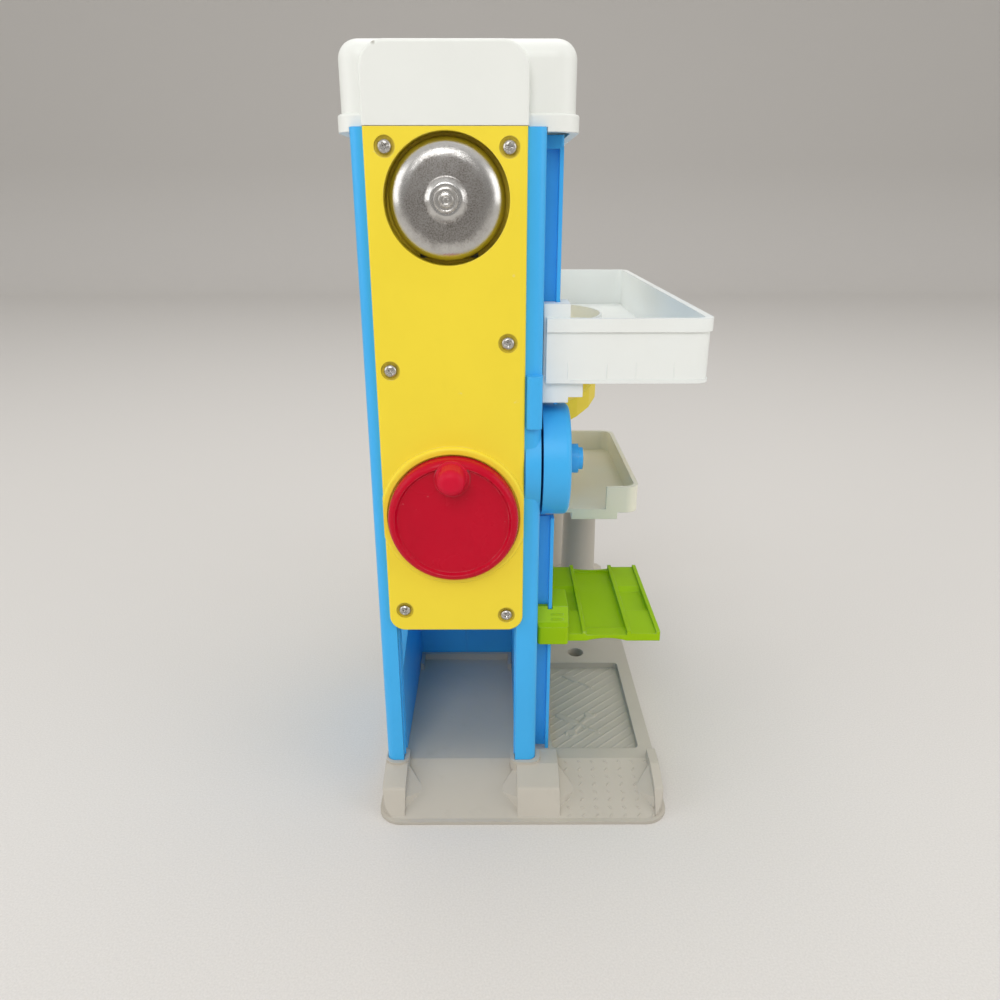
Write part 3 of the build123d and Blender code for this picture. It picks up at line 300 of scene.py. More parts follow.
# ------------------------------------------------------------------ finishes
@dataclass(frozen=True)
class MouldedPlastic:
    """Injection-moulded plastic: slight mottling, a fine skin, scuffs, dust and painted shade in rings round
    given points.
    """

    name: str
    colour: Colour
    roughness: float = 0.38
    mottle: float = 0.05
    skin: float = 0.10
    scuff: float = 0.25
    scuff_colour: Colour = (0.8, 0.8, 0.78, 1.0)
    grime: float = 0.10
    edge: float = 0.0006
    gloss: float = 0.40
    grain: float = 2600.0
    broad_scale: float = 22.0
    scratch_scale: float = 14.0
    patch_scale: float = 46.0
    smear_scale: float = 60.0
    smear_tone: float = 0.55
    wear_scale: float = 130.0
    wear_tone: float = 1.25
    wave_scale: float = 34.0
    aged: float = 0.0
    aged_colour: Colour = (0.83, 0.74, 0.56, 1.0)
    # points round which shade is painted as a dark ring, the ring's reach and its colour
    shade_ring_centres: tuple[Triple, ...] = ()
    shade_ring_reach: Pair = (0.0036, 0.0052)
    shade_ring_colour: Colour = (0.10, 0.06, 0.015, 1.0)

    def build(self) -> bpy.types.Material:
        """Makes the material.

        Returns:
            The finished material.
        """
        t = Tree(self.name)
        at = t.place()
        broad = t.noise(at, self.broad_scale, 4.0)
        tone = t.mix(t.ramp(broad, 0.3, 0.7), shaded(self.colour, 1 - self.mottle),
                     shaded(self.colour, 1 + self.mottle))
        if self.aged:
            yellowed = t.ramp(t.noise(at, 15.0, 2.0), 0.36, 0.64, 0.35 * self.aged, self.aged)
            tone = t.mix(yellowed, tone, self.aged_colour)
        # fine scratches: noise stretched along one direction, cut to thin lines
        drag = t.place((9.0, 90.0, 14.0), (0.4, 0.9, 0.3))
        lines = t.ramp(t.noise(drag, self.scratch_scale, 6.0, 0.7), 0.66, 0.70)
        patch = t.ramp(t.noise(at, self.patch_scale, 2.0), 0.52, 0.68)
        scratch = t.maths("MULTIPLY", t.maths("MULTIPLY", lines, patch), self.scuff)
        tone = t.mix(scratch, tone, self.scuff_colour)
        # dull handling marks
        smear = t.ramp(t.noise(t.place((1.0, 1.0, 0.5)), self.smear_scale, 5.0, 0.65), 0.58, 0.78)
        tone = t.mix(t.maths("MULTIPLY", smear, self.grime), tone, shaded(self.colour, self.smear_tone))
        rounded, edge = t.edges(self.edge)
        wear = t.ramp(t.noise(at, self.wear_scale, 4.0), 0.40, 0.72, 0.05, 0.34)
        pale = t.mix(t.ramp(broad, 0.4, 0.6), shaded(self.colour, self.wear_tone), self.scuff_colour)
        tone = t.mix(t.maths("MULTIPLY", edge, wear), tone, pale)
        # painted shade in a ring round each given point
        tone = self.painted_ring_shade(t, tone)
        t.join(tone, t.shader.inputs["Base Color"])
        rough = t.maths("ADD", t.ramp(broad, 0.3, 0.7, self.roughness - 0.05, self.roughness + 0.06),
                        t.maths("MULTIPLY", scratch, 0.5))
        t.join(rough, t.shader.inputs["Roughness"])
        fine = t.noise(at, self.grain, 2.0)
        normal = t.bump(fine, self.skin, 0.0002, rounded)
        wave = t.noise(at, self.wave_scale, 1.0)
        normal = t.bump(wave, 0.12, 0.0016, normal)
        t.join(normal, t.shader.inputs["Normal"])
        t.shader.inputs["IOR"].default_value = 1.5
        t.shader.inputs["Specular IOR Level"].default_value = self.gloss
        return t.material

    def painted_ring_shade(self, t: Tree, tone: bpy.types.NodeSocket) -> bpy.types.NodeSocket:
        """Darkens the plastic in a patchy ring round each given point: painted shade round the panel's
        screws, where each head sits in its recess, and a small dark dot on the roof cap.

        Args:
            t: The material's tree.
            tone: The clean colour.

        Returns:
            The colour with the dirt.
        """
        for spot in self.shade_ring_centres:
            near = t.distance(spot, (1.0, 0.0, 1.0))
            ring = t.ramp(near, self.shade_ring_reach[0], self.shade_ring_reach[1], 0.72, 0.0)
            patchy = t.ramp(t.noise(t.place(), 420.0, 3.0), 0.3, 0.65, 0.45, 1.0)
            tone = t.mix(t.maths("MULTIPLY", ring, patchy), tone, self.shade_ring_colour)
        return tone


@dataclass(frozen=True)
class BellMetal:
    """Nickelled steel, bright on its shoulder; its flat face is dark, partly with real tarnish and partly
    with a painted dark reflection of what lies in front of it.
    """

    name: str = "bell_nickel"
    bright: Colour = (0.62, 0.61, 0.59, 1.0)
    # the dark colour: tarnish, and on the flat face also a painted dark reflection
    tarnish_and_painted_reflection: Colour = (0.055, 0.036, 0.024, 1.0)
    axis: Triple = (-0.0395, -0.150, 0.352)
    speck_scale: float = 1500.0
    cloud_scale: float = 110.0
    wobble_scale: float = 190.0
    flat_inner: float = 0.0095
    inner_blur: float = 0.0012
    flat_outer: float = 0.0212
    wobble: float = 0.0020

    def build(self) -> bpy.types.Material:
        """Makes the material.

        Returns:
            The finished material.
        """
        t = Tree(self.name)
        at = t.place()
        wobble = t.ramp(t.noise(at, self.wobble_scale, 5.0, 0.7), 0.25, 0.75, -self.wobble, self.wobble)
        across = t.maths("ADD", t.distance(self.axis, (1.0, 0.0, 1.0)), wobble)
        inner = t.ramp(across, self.flat_inner - self.inner_blur, self.flat_inner + self.inner_blur)
        outer = t.ramp(across, self.flat_outer - 0.0030, self.flat_outer + 0.0026, 1.0, 0.0)
        # flat: the flat face, which takes the painted dark reflection
        flat = t.maths("MULTIPLY", inner, outer)
        speck = t.ramp(t.noise(at, self.speck_scale, 6.0, 0.75), 0.42, 0.62)
        cloud = t.ramp(t.noise(at, self.cloud_scale, 5.0, 0.7), 0.35, 0.66, 0.78, 1.0)
        # share of the dark colour: speckled tarnish all over, far more on the flat face, where it also paints
        # the dark reflection
        tarnish_and_reflection_share = t.maths("MULTIPLY", t.maths("ADD", t.maths("MULTIPLY", speck, 0.50), 0.50), cloud)
        tarnish_and_reflection_share = t.maths("MULTIPLY", tarnish_and_reflection_share, t.maths("ADD", t.maths("MULTIPLY", flat, 0.80), 0.14))
        t.join(t.mix(tarnish_and_reflection_share, self.bright, self.tarnish_and_painted_reflection), t.shader.inputs["Base Color"])
        t.shader.inputs["Metallic"].default_value = 1.0
        t.join(t.maths("ADD", t.maths("MULTIPLY", tarnish_and_reflection_share, 0.34), 0.15), t.shader.inputs["Roughness"])
        normal = t.bump(speck, 0.25, 0.00006)
        t.join(normal, t.shader.inputs["Normal"])
        return t.material


@dataclass(frozen=True)
class PlainMetal:
    """Zinc-plated or ground steel with turning marks."""

    name: str
    colour: Colour
    roughness: float = 0.3
    cloud_scale: float = 700.0
    mark_scale: float = 3000.0

    def build(self) -> bpy.types.Material:
        """Makes the material.

        Returns:
            The finished material.
        """
        t = Tree(self.name)
        at = t.place()
        cloud = t.noise(at, self.cloud_scale, 4.0, 0.7)
        t.join(t.mix(t.ramp(cloud, 0.35, 0.7), self.colour, shaded(self.colour, 0.55)),
               t.shader.inputs["Base Color"])
        t.shader.inputs["Metallic"].default_value = 1.0
        t.join(t.ramp(cloud, 0.3, 0.7, self.roughness - 0.08, self.roughness + 0.15),
               t.shader.inputs["Roughness"])
        t.join(t.bump(t.noise(at, self.mark_scale, 2.0), 0.2, 0.00005), t.shader.inputs["Normal"])
        return t.material


@dataclass(frozen=True)
class BraidedCord:
    """A thin woven cord: two crossing sets of diagonal strands, with painted shade in the grooves between
    them.
    """

    name: str = "cord_braid"
    colour: Colour = (0.70, 0.68, 0.62, 1.0)
    strand_scale: float = 320.0

    def build(self) -> bpy.types.Material:
        """Makes the material.

        Returns:
            The finished material.
        """
        t = Tree(self.name)
        strands = []
        for lean in (1.0, -1.0):
            wave = t.add("ShaderNodeTexWave", wave_type="BANDS", bands_direction="DIAGONAL")
            wave.inputs["Scale"].default_value = self.strand_scale
            t.join(t.place((1.0, 1.0, lean)), wave.inputs["Vector"])
            strands.append(wave.outputs["Fac"])
        weave = t.maths("MAXIMUM", *strands)
        # painted shade: the grooves between the strands are darker
        t.join(t.mix(weave, shaded(self.colour, 0.6), self.colour), t.shader.inputs["Base Color"])
        t.shader.inputs["Roughness"].default_value = 0.85
        t.join(t.bump(weave, 0.6, 0.0002), t.shader.inputs["Normal"])
        return t.material


class Finish(Enum):
    """The object's finishes."""

    BLUE = MouldedPlastic("blue_plastic", linear(64, 177, 241), 0.36, 0.03, skin=0.3, grain=1100.0,
                          gloss=0.34)
    GREY = MouldedPlastic("grey_plastic", linear(186, 180, 168), 0.48, 0.03, grime=0.16)
    # painted shade: a small dark dot at one point of the roof cap
    WHITE = MouldedPlastic("white_plastic", linear(233, 235, 230), 0.36, 0.015, grime=0.05,
                           shade_ring_centres=((-0.0710, 0, 0.4180),), shade_ring_reach=(0.0002, 0.0014))
    CREAM = MouldedPlastic("upper_deck_plastic", linear(236, 240, 238), 0.36, 0.015, grime=0.05, aged=0.1)
    IVORY = MouldedPlastic("lower_deck_plastic", linear(232, 236, 224), 0.40, 0.02, grime=0.06, aged=0.6)
    YELLOW = MouldedPlastic("yellow_plastic", linear(243, 218, 52), 0.40, 0.02, grime=0.05)
    # painted shade in a ring round each of the six panel screws, where each head sits in its recess
    PANEL = MouldedPlastic("panel_yellow_plastic", linear(243, 218, 52), 0.40, 0.02, grime=0.05,
                           shade_ring_centres=((-0.068, 0, 0.3754), (-0.0095, 0, 0.375), (-0.0704, 0, 0.270),
                                  (-0.010, 0, 0.284), (-0.069, 0, 0.1306), (-0.0104, 0, 0.1274)))
    RED = MouldedPlastic("red_plastic", linear(192, 0, 38), 0.26, 0.04, gloss=0.18)
    KNOB_RED = MouldedPlastic("knob_red_plastic", linear(204, 8, 48), 0.46, 0.05, scuff=0.7, gloss=0.2,
                              scuff_colour=(0.75, 0.35, 0.33, 1.0))
    GREEN = MouldedPlastic("green_plastic", linear(152, 192, 0), 0.34, 0.04, gloss=0.16)
    NATURAL = MouldedPlastic("natural_plastic", linear(222, 220, 212), 0.5, 0.02)
    BELL = BellMetal()
    SCREW = PlainMetal("screw_zinc", (0.60, 0.58, 0.55, 1.0), 0.24)
    PIN = PlainMetal("pin_steel", (0.52, 0.52, 0.54, 1.0), 0.26)
    CORD = BraidedCord()


NODE_FINISH = {
    "base_tray": Finish.GREY, "tower_left_half": Finish.BLUE, "tower_right_half": Finish.BLUE,
    "roof_cap": Finish.WHITE, "bell_crank_panel": Finish.PANEL, "mechanism_plate": Finish.NATURAL,
    "bell_gong": Finish.BELL, "bell_screw": Finish.SCREW, "bell_striker": Finish.NATURAL,
    "crank_wheel": Finish.RED, "crank_knob": Finish.KNOB_RED, "crank_axle": Finish.NATURAL,
    "striker_cam": Finish.NATURAL, "cord_spool": Finish.NATURAL, "panel_screws": Finish.SCREW,
    "top_pulley": Finish.NATURAL, "pulley_pin": Finish.PIN, "hoist_cord_riser": Finish.CORD,
    "hoist_cord_drop": Finish.CORD, "car_lift_platform": Finish.GREEN, "lift_pinion": Finish.NATURAL,
    "knob_axle": Finish.NATURAL, "lift_knob": Finish.BLUE, "service_lift_platform": Finish.GREEN,
    "upper_deck": Finish.CREAM, "lower_deck": Finish.IVORY, "deck_column": Finish.GREY,
    "upper_deck_column": Finish.GREY, "spiral_core": Finish.GREY, "spiral_ramp": Finish.YELLOW,
}


class Paint:
    """Builds each finish once and puts it on objects."""

    def __init__(self) -> None:
        """Starts with no finish built."""
        self.made: dict[Finish, bpy.types.Material] = {}

    def get(self, finish: Finish) -> bpy.types.Material:
        """Gives a finish's material, made on first use.

        Args:
            finish: The finish.

        Returns:
            Its material.
        """
        if finish not in self.made:
            self.made[finish] = finish.value.build()
        return self.made[finish]

    def coat(self, thing: bpy.types.Object, finish: Finish) -> None:
        """Puts a finish on every face of an object.

        Args:
            thing: The object.
            finish: The finish.
        """
        thing.data.materials.clear()
        thing.data.materials.append(self.get(finish))

    def finish(self, piece: bpy.types.Object, finish: Finish) -> None:
        """Puts a finish on a new piece."""
        self.coat(piece, finish)

    def coat_frame(self) -> None:
        """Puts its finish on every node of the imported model."""
        for name, finish in NODE_FINISH.items():
            self.coat(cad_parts[name], finish)
            LOG.info("node %s: %s", name, finish.name.lower())


# ------------------------------------------------------------------ surfaces
class Way(Enum):
    """The line that a turned piece is turned about."""

    Y = 1
    Z = 2


def rounded_run(corners: list[Triple], steps: int = 7) -> np.ndarray:
    """Gives a smooth run through corners, each (across, along, radius).

    Between two corners the run is straight. At a corner it is the arc that
    touches both straights at radius times the tangent of half the turn.

    Args:
        corners: Points with the radius of the arc at each; the ends' radius is 0.
        steps: Points on each arc.

    Returns:
        An array of (across, along) points.
    """
    points = np.array([corner[:2] for corner in corners], dtype=float)
    run = [points[:1]]
    for index in range(1, len(corners) - 1):
        here, radius = points[index], corners[index][2]
        before = points[index - 1] - here
        after = points[index + 1] - here
        before /= np.linalg.norm(before)
        after /= np.linalg.norm(after)
        half = math.acos(float(np.clip(before @ after, -1, 1))) / 2
        if radius <= 0 or half > math.pi / 2 - STRAIGHT:
            run.append(here[None])
            continue
        reach = radius / math.tan(half)
        middle = here + (before + after) / np.linalg.norm(before + after) * radius / math.sin(half)
        start = here + before * reach - middle
        end = here + after * reach - middle
        first, last = math.atan2(start[1], start[0]), math.atan2(end[1], end[0])
        turn = (last - first + math.pi) % (2 * math.pi) - math.pi
        angle = first + turn * np.linspace(0, 1, steps)
        run.append(middle + radius * np.stack([np.cos(angle), np.sin(angle)], axis=1))
    run.append(points[-1:])
    return np.concatenate(run)


def grid_faces(rows: int, columns: int, closed: bool) -> np.ndarray:
    """Gives the four-cornered faces of a grid of points.

    Args:
        rows: Points along the first parameter.
        columns: Points along the second parameter.
        closed: Whether the second parameter runs round to its start.

    Returns:
        An array of four point numbers for each face.
    """
    row = np.arange(rows - 1)[:, None]
    column = np.arange(columns if closed else columns - 1)[None, :]
    following = (column + 1) % columns
    corners = (row * columns + column, (row + 1) * columns + column,
               (row + 1) * columns + following, row * columns + following)
    return np.stack([np.broadcast_to(corner, (rows - 1, column.shape[1])) for corner in corners],
                    axis=-1).reshape(-1, 4)


def make_piece(name: str, points: np.ndarray, faces: np.ndarray, body: str | None,
               mend: bool = True) -> bpy.types.Object:
    """Makes a mesh piece that rides on a body.

    Args:
        name: The piece's name.
        points: Its points, one row each, in metres.
        faces: Its faces, one row of point numbers each.
        body: The body it moves with, or none.
        mend: Whether its doubles are merged and its faces turned outwards.

    Returns:
        The piece.
    """
    mesh = bpy.data.meshes.new(name)
    mesh.from_pydata(points.tolist(), [], faces.tolist())
    if mend:
        work = bmesh.new()
        work.from_mesh(mesh)
        bmesh.ops.remove_doubles(work, verts=work.verts, dist=DOUBLES_REACH)
        bmesh.ops.recalc_face_normals(work, faces=work.faces)
        work.to_mesh(mesh)
        work.free()
    mesh.polygons.foreach_set("use_smooth", np.ones(len(mesh.polygons), dtype=bool))
    mesh.update()
    piece = bpy.data.objects.new(name, mesh)
    bpy.context.scene.collection.objects.link(piece)
    if body:
        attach(piece, body)
    LOG.info("piece %s on %s: %d faces", name, body, len(mesh.polygons))
    return piece


def turned(profile: np.ndarray, centre: Triple, way: Way,
           steps: int = 96) -> tuple[np.ndarray, np.ndarray]:
    """Turns a profile about a line.

    A point (radius r, place s) at angle a lies at s along the line and at
    r cos a, r sin a across it.

    Args:
        profile: Points of (radius, place along the line), in metres.
        centre: A point of the line.
        way: The line's direction.
        steps: Points round.

    Returns:
        The points and the faces.
    """
    angle = np.linspace(0, 2 * math.pi, steps, endpoint=False)
    radius = profile[:, 0][:, None]
    along = np.broadcast_to(profile[:, 1][:, None], (len(profile), steps))
    first, second = radius * np.cos(angle), radius * np.sin(angle)
    order = {Way.Y: (first, along, second), Way.Z: (first, second, along)}
    points = np.stack(order[way], axis=-1).reshape(-1, 3)
    shift = np.array(centre, dtype=float)
    shift[way.value] = 0.0
    return points + shift, grid_faces(len(profile), steps, True)


def beads(starts: np.ndarray, ends: np.ndarray, out: Triple, half_width: float,
          rise: float) -> tuple[np.ndarray, np.ndarray]:
    """Lays a low rounded bead along each of many straight strokes.

    At share s along a stroke and t across it, from -1 to 1, the point lies
    t half widths to the side and rise times cos(t quarter turns) out. Both
    shrink to the ends by the square root of one less (2s - 1) to the fourth.
    The bead's edges lie a little under the face, so that it grows out of it.

    Args:
        starts: One end of each stroke.
        ends: The other end of each.
        out: The unit vector that the beads stand out along.
        half_width: Half of a bead's width.
        rise: Its height.

    Returns:
        The points and the faces.
    """
    rows, columns, sink, tip = 11, 9, 0.06, 4e-4
    run = (ends - starts)[:, None, None, :]
    aside = np.cross(np.array(out), run)
    aside /= np.linalg.norm(aside, axis=-1, keepdims=True)
    share = np.linspace(0, 1, rows)[None, :, None, None]
    across = np.linspace(-1, 1, columns)[None, None, :, None]
    narrow = np.sqrt(np.clip(1 - (2 * share - 1) ** 4, tip, 1))
    height = rise * np.cos(across * math.pi / 2) * narrow - sink
    points = (starts[:, None, None, :] + run * share + aside * half_width * across * narrow
              + np.array(out) * height)
    face = grid_faces(rows, columns, False)
    faces = face[None] + (np.arange(len(starts)) * rows * columns)[:, None, None]
    return points.reshape(-1, 3), faces.reshape(-1, 4)


# ------------------------------------------------------------------ base
@dataclass
class BaseDress:
    """Fine mouldings of the base, in millimetres: a ramp's grip marks and the bay's floor."""

    bay_left: float = 20.2
    bay_right: float = 77.0
    bay_front: float = -131.0
    bay_back: float = -30.0
    bay_floor: float = 11.0
    bay_inset: float = 0.15
    bay_grid: tuple[int, int] = (164, 290)
    bay_lift: float = 0.03
    bay_sink: float = 0.1
    line_pitch: float = 6.2
    line_half_width: float = 0.9
    line_height: float = 0.35
    line_slant: float = 42.0
    tool_height: float = 0.7
    tool_edge: float = 0.7
    spanner_ends: tuple[Pair, Pair] = ((34.5, -110.0), (50.0, -89.0))
    spanner_half: float = 1.5
    spanner_head: float = 3.9
    mouth_start: float = 1.6
    mouth_end: float = 8.0
    driver_ends: tuple[tuple[Pair, Pair], ...] = (((27.8, -90.2), (53.8, -108.7)),
                                                  ((36.5, -40.8), (54.5, -56.3)))
    driver_share: float = 0.42
    driver_grip: float = 2.4
    driver_blade: float = 0.8
    ramp_start: float = -178.5
    ramp_end: float = -141.0
    ramp_low: float = 2.0
    ramp_high: float = 16.0
    grip_start: float = 28.0
    grip_front_gap: float = 1.6
    grip_back_gap: float = 2.6
    grip_pitch: float = 8.5
    grip_columns: int = 7
    grip_rows: int = 8
    grip_half: float = 1.0
    grip_width: float = 0.65
    grip_height: float = 0.55

    def capsule(self, x: np.ndarray, y: np.ndarray, start: Pair, end: Pair, radius: float) -> np.ndarray:
        """Gives the distance from each point to a thick straight stroke.

        It is the distance to the nearest point of the stroke's middle line,
        less its radius, so it is negative inside.

        Args:
            x: The points' first coordinate.
            y: Their second.
            start: One end of the middle line.
            end: Its other end.
            radius: Half of the stroke's width.

        Returns:
            The distances.
        """
        run = np.array(end) - np.array(start)
        share = ((x - start[0]) * run[0] + (y - start[1]) * run[1]) / (run @ run)
        share = np.clip(share, 0, 1)
        return np.hypot(x - start[0] - share * run[0], y - start[1] - share * run[1]) - radius

    def spanner(self, x: np.ndarray, y: np.ndarray, start: Pair, end: Pair) -> np.ndarray:
        """Gives the distance to a plain open-ended spanner: a shank and a notched head at each end.

        Args:
            x: The points' first coordinate.
            y: Their second.
            start: The middle of one head.
            end: The middle of the other.

        Returns:
            The distances, negative inside.
        """
        shape = self.capsule(x, y, start, end, self.spanner_half)
        run = np.subtract(end, start)
        run = run / np.linalg.norm(run)
        for place, way in ((np.array(start), -run), (np.array(end), run)):
            head = np.hypot(x - place[0], y - place[1]) - self.spanner_head
            inner, outer = place + way * self.mouth_start, place + way * self.mouth_end
            mouth = self.capsule(x, y, tuple(inner), tuple(outer), self.spanner_half)
            shape = np.minimum(shape, np.maximum(head, -mouth))
        return shape

    def driver(self, x: np.ndarray, y: np.ndarray, start: Pair, end: Pair) -> np.ndarray:
        """Gives the distance to a plain screwdriver: a thick grip and a thin blade.

        Args:
            x: The points' first coordinate.
            y: Their second.
            start: The end of the grip.
            end: The tip of the blade.

        Returns:
            The distances, negative inside.
        """
        middle = tuple(a + (b - a) * self.driver_share for a, b in zip(start, end))
        grip = self.capsule(x, y, start, middle, self.driver_grip)
        return np.minimum(grip, self.capsule(x, y, middle, end, self.driver_blade))

    def bay(self, paint: Paint) -> None:
        """Makes the bay's floor, a sheet whose height is worked out at each point.

        The height is the larger of two forms: parallel ridges, a cosine hump
        of the distance to the nearest slanting line, and flat-topped tools,
        a smooth step of the distance to their outlines.

        Args:
            paint: The finishes.
        """
        x = np.linspace(self.bay_left + self.bay_inset, self.bay_right - self.bay_inset, self.bay_grid[0])
        y = np.linspace(self.bay_front + self.bay_inset, self.bay_back - self.bay_inset, self.bay_grid[1])
        x, y = np.meshgrid(x, y, indexing="ij")
        slant = math.radians(self.line_slant)
        across = x * math.sin(slant) - y * math.cos(slant)
        offset = np.abs((across / self.line_pitch) % 1.0 - 0.5) * self.line_pitch
        hump = np.cos(np.clip(offset / self.line_half_width, 0, 1) * math.pi / 2)
        ridges = self.line_height * np.clip(hump, 0, 1)
        tools = self.spanner(x, y, *self.spanner_ends)
        for ends in self.driver_ends:
            tools = np.minimum(tools, self.driver(x, y, *ends))
        rise = np.clip(0.5 - tools / self.tool_edge, 0, 1)
        rise = rise * rise * (3 - 2 * rise)
        height = np.maximum(ridges * (1 - rise), rise * self.tool_height)
        height[[0, -1], :] = -self.bay_sink
        height[:, [0, -1]] = -self.bay_sink
        points = np.stack([x, y, self.bay_floor + self.bay_lift + height], axis=-1).reshape(-1, 3) * MM
        faces = grid_faces(*x.shape, False)[:, ::-1]
        paint.finish(make_piece("service_bay_floor", points, faces, "garage", mend=False), Finish.GREY)

    def grips(self, paint: Paint) -> None:
        """Makes the ramp's grip marks: rows of short beads that slant one way, then the other.

        Args:
            paint: The finishes.
        """
        slope = (self.ramp_high - self.ramp_low) / (self.ramp_end - self.ramp_start)
        x = self.grip_start + self.grip_pitch * np.arange(self.grip_columns)
        y = np.linspace(self.ramp_start + self.grip_front_gap, self.ramp_end - self.grip_back_gap,
                        self.grip_rows)
        x, y = np.meshgrid(x, y)
        z = self.ramp_low + (y - self.ramp_start) * slope
        slant = np.where(np.arange(self.grip_rows) % 2 == 0, 1.0, -1.0)[:, None] + 0 * x
        half = np.stack([slant, np.ones_like(x), np.full_like(x, slope)], axis=-1) * self.grip_half
        middle = np.stack([x, y, z], axis=-1)
        length = math.hypot(1.0, slope)
        points, faces = beads((middle - half).reshape(-1, 3), (middle + half).reshape(-1, 3),
                              (0.0, -slope / length, 1 / length), self.grip_width, self.grip_height)
        paint.finish(make_piece("ramp_grip_marks", points * MM, faces, "garage"), Finish.GREY)

    def build(self, paint: Paint) -> None:
        """Makes the base's fine mouldings."""
        self.bay(paint)
        self.grips(paint)


# ------------------------------------------------------------------ bell
@dataclass
class BellDress:
    """The spun gong with its washer and rivet, in millimetres."""

    axis_x: float = -39.5
    axis_z: float = 352.0
    rim_y: float = -144.0
    radius: float = 28.4
    wall: float = 1.2
    shoulder: float = 10.0
    face_y: float = -156.0
    boss_y: float = -158.0
    boss_radius: float = 7.6
    boss_foot: float = 10.4
    hole_radius: float = 1.8
    washer_radius: float = 5.9
    shank_radius: float = 1.5
    spacer_radius: float = 4.5
    spacer_end: float = -154.4
    shank_end: float = -136.5
    rivet_radius: float = 3.5

    def gong(self, paint: Paint) -> None:
        """Turns the gong's outline: a short side, a round shoulder, a flat face and a raised boss.

        Args:
            paint: The finishes.
        """
        r, w = self.radius, self.wall
        run = [(r, self.rim_y, 0), (r, self.face_y + 0.3, self.shoulder),
               (self.boss_foot, self.face_y - 0.2, 1.8), (self.boss_radius, self.boss_y, 2.0),
               (self.hole_radius, self.boss_y, 0)]
        inner = [(self.hole_radius, self.boss_y + w, 0), (self.boss_radius - 0.6, self.boss_y + w, 1.2),
                 (self.boss_foot - 0.6, self.face_y - 0.2 + w, 1.4),
                 (r - w, self.face_y + 0.3 + w, self.shoulder - w), (r - w, self.rim_y, 0),
                 (r, self.rim_y, 0)]
        profile = np.concatenate([rounded_run(run, 16), rounded_run(inner, 10)]) * MM
        points, faces = turned(profile, (self.axis_x * MM, 0, self.axis_z * MM), Way.Y, 160)
        piece = make_piece("bell_gong_spun", points, faces, "garage")
        paint.finish(piece, Finish.BELL)
        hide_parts("bell_gong")

    def rivet(self, paint: Paint) -> None:
        """Turns the washer and the rivet with its pressed rings, down to the spacer behind.

        Args:
            paint: The finishes.
        """
        front = self.boss_y
        run = [(0.0, front - 2.1, 0), (1.0, front - 2.1, 0.3), (1.3, front - 1.8, 0.2),
               (2.2, front - 2.0, 0.3), (self.rivet_radius, front - 1.7, 0.5),
               (self.rivet_radius, front - 0.9, 0.2), (4.6, front - 0.9, 0.2), (5.0, front - 1.1, 0.3),
               (self.washer_radius, front - 0.8, 0.4), (self.washer_radius, front, 0.1),
               (self.shank_radius, front, 0), (self.shank_radius, front + 1.3, 0),
               (self.spacer_radius, front + 1.3, 0.1), (self.spacer_radius, self.spacer_end, 0.1),
               (self.shank_radius, self.spacer_end, 0), (self.shank_radius, self.shank_end, 0),
               (0.0, self.shank_end, 0)]
        points, faces = turned(rounded_run(run, 6) * MM, (self.axis_x * MM, 0, self.axis_z * MM), Way.Y, 96)
        piece = make_piece("bell_rivet", points, faces, "garage")
        paint.finish(piece, Finish.SCREW)
        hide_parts("bell_screw")

    def build(self, paint: Paint) -> None:
        """Makes the bell."""
        self.gong(paint)
        self.rivet(paint)


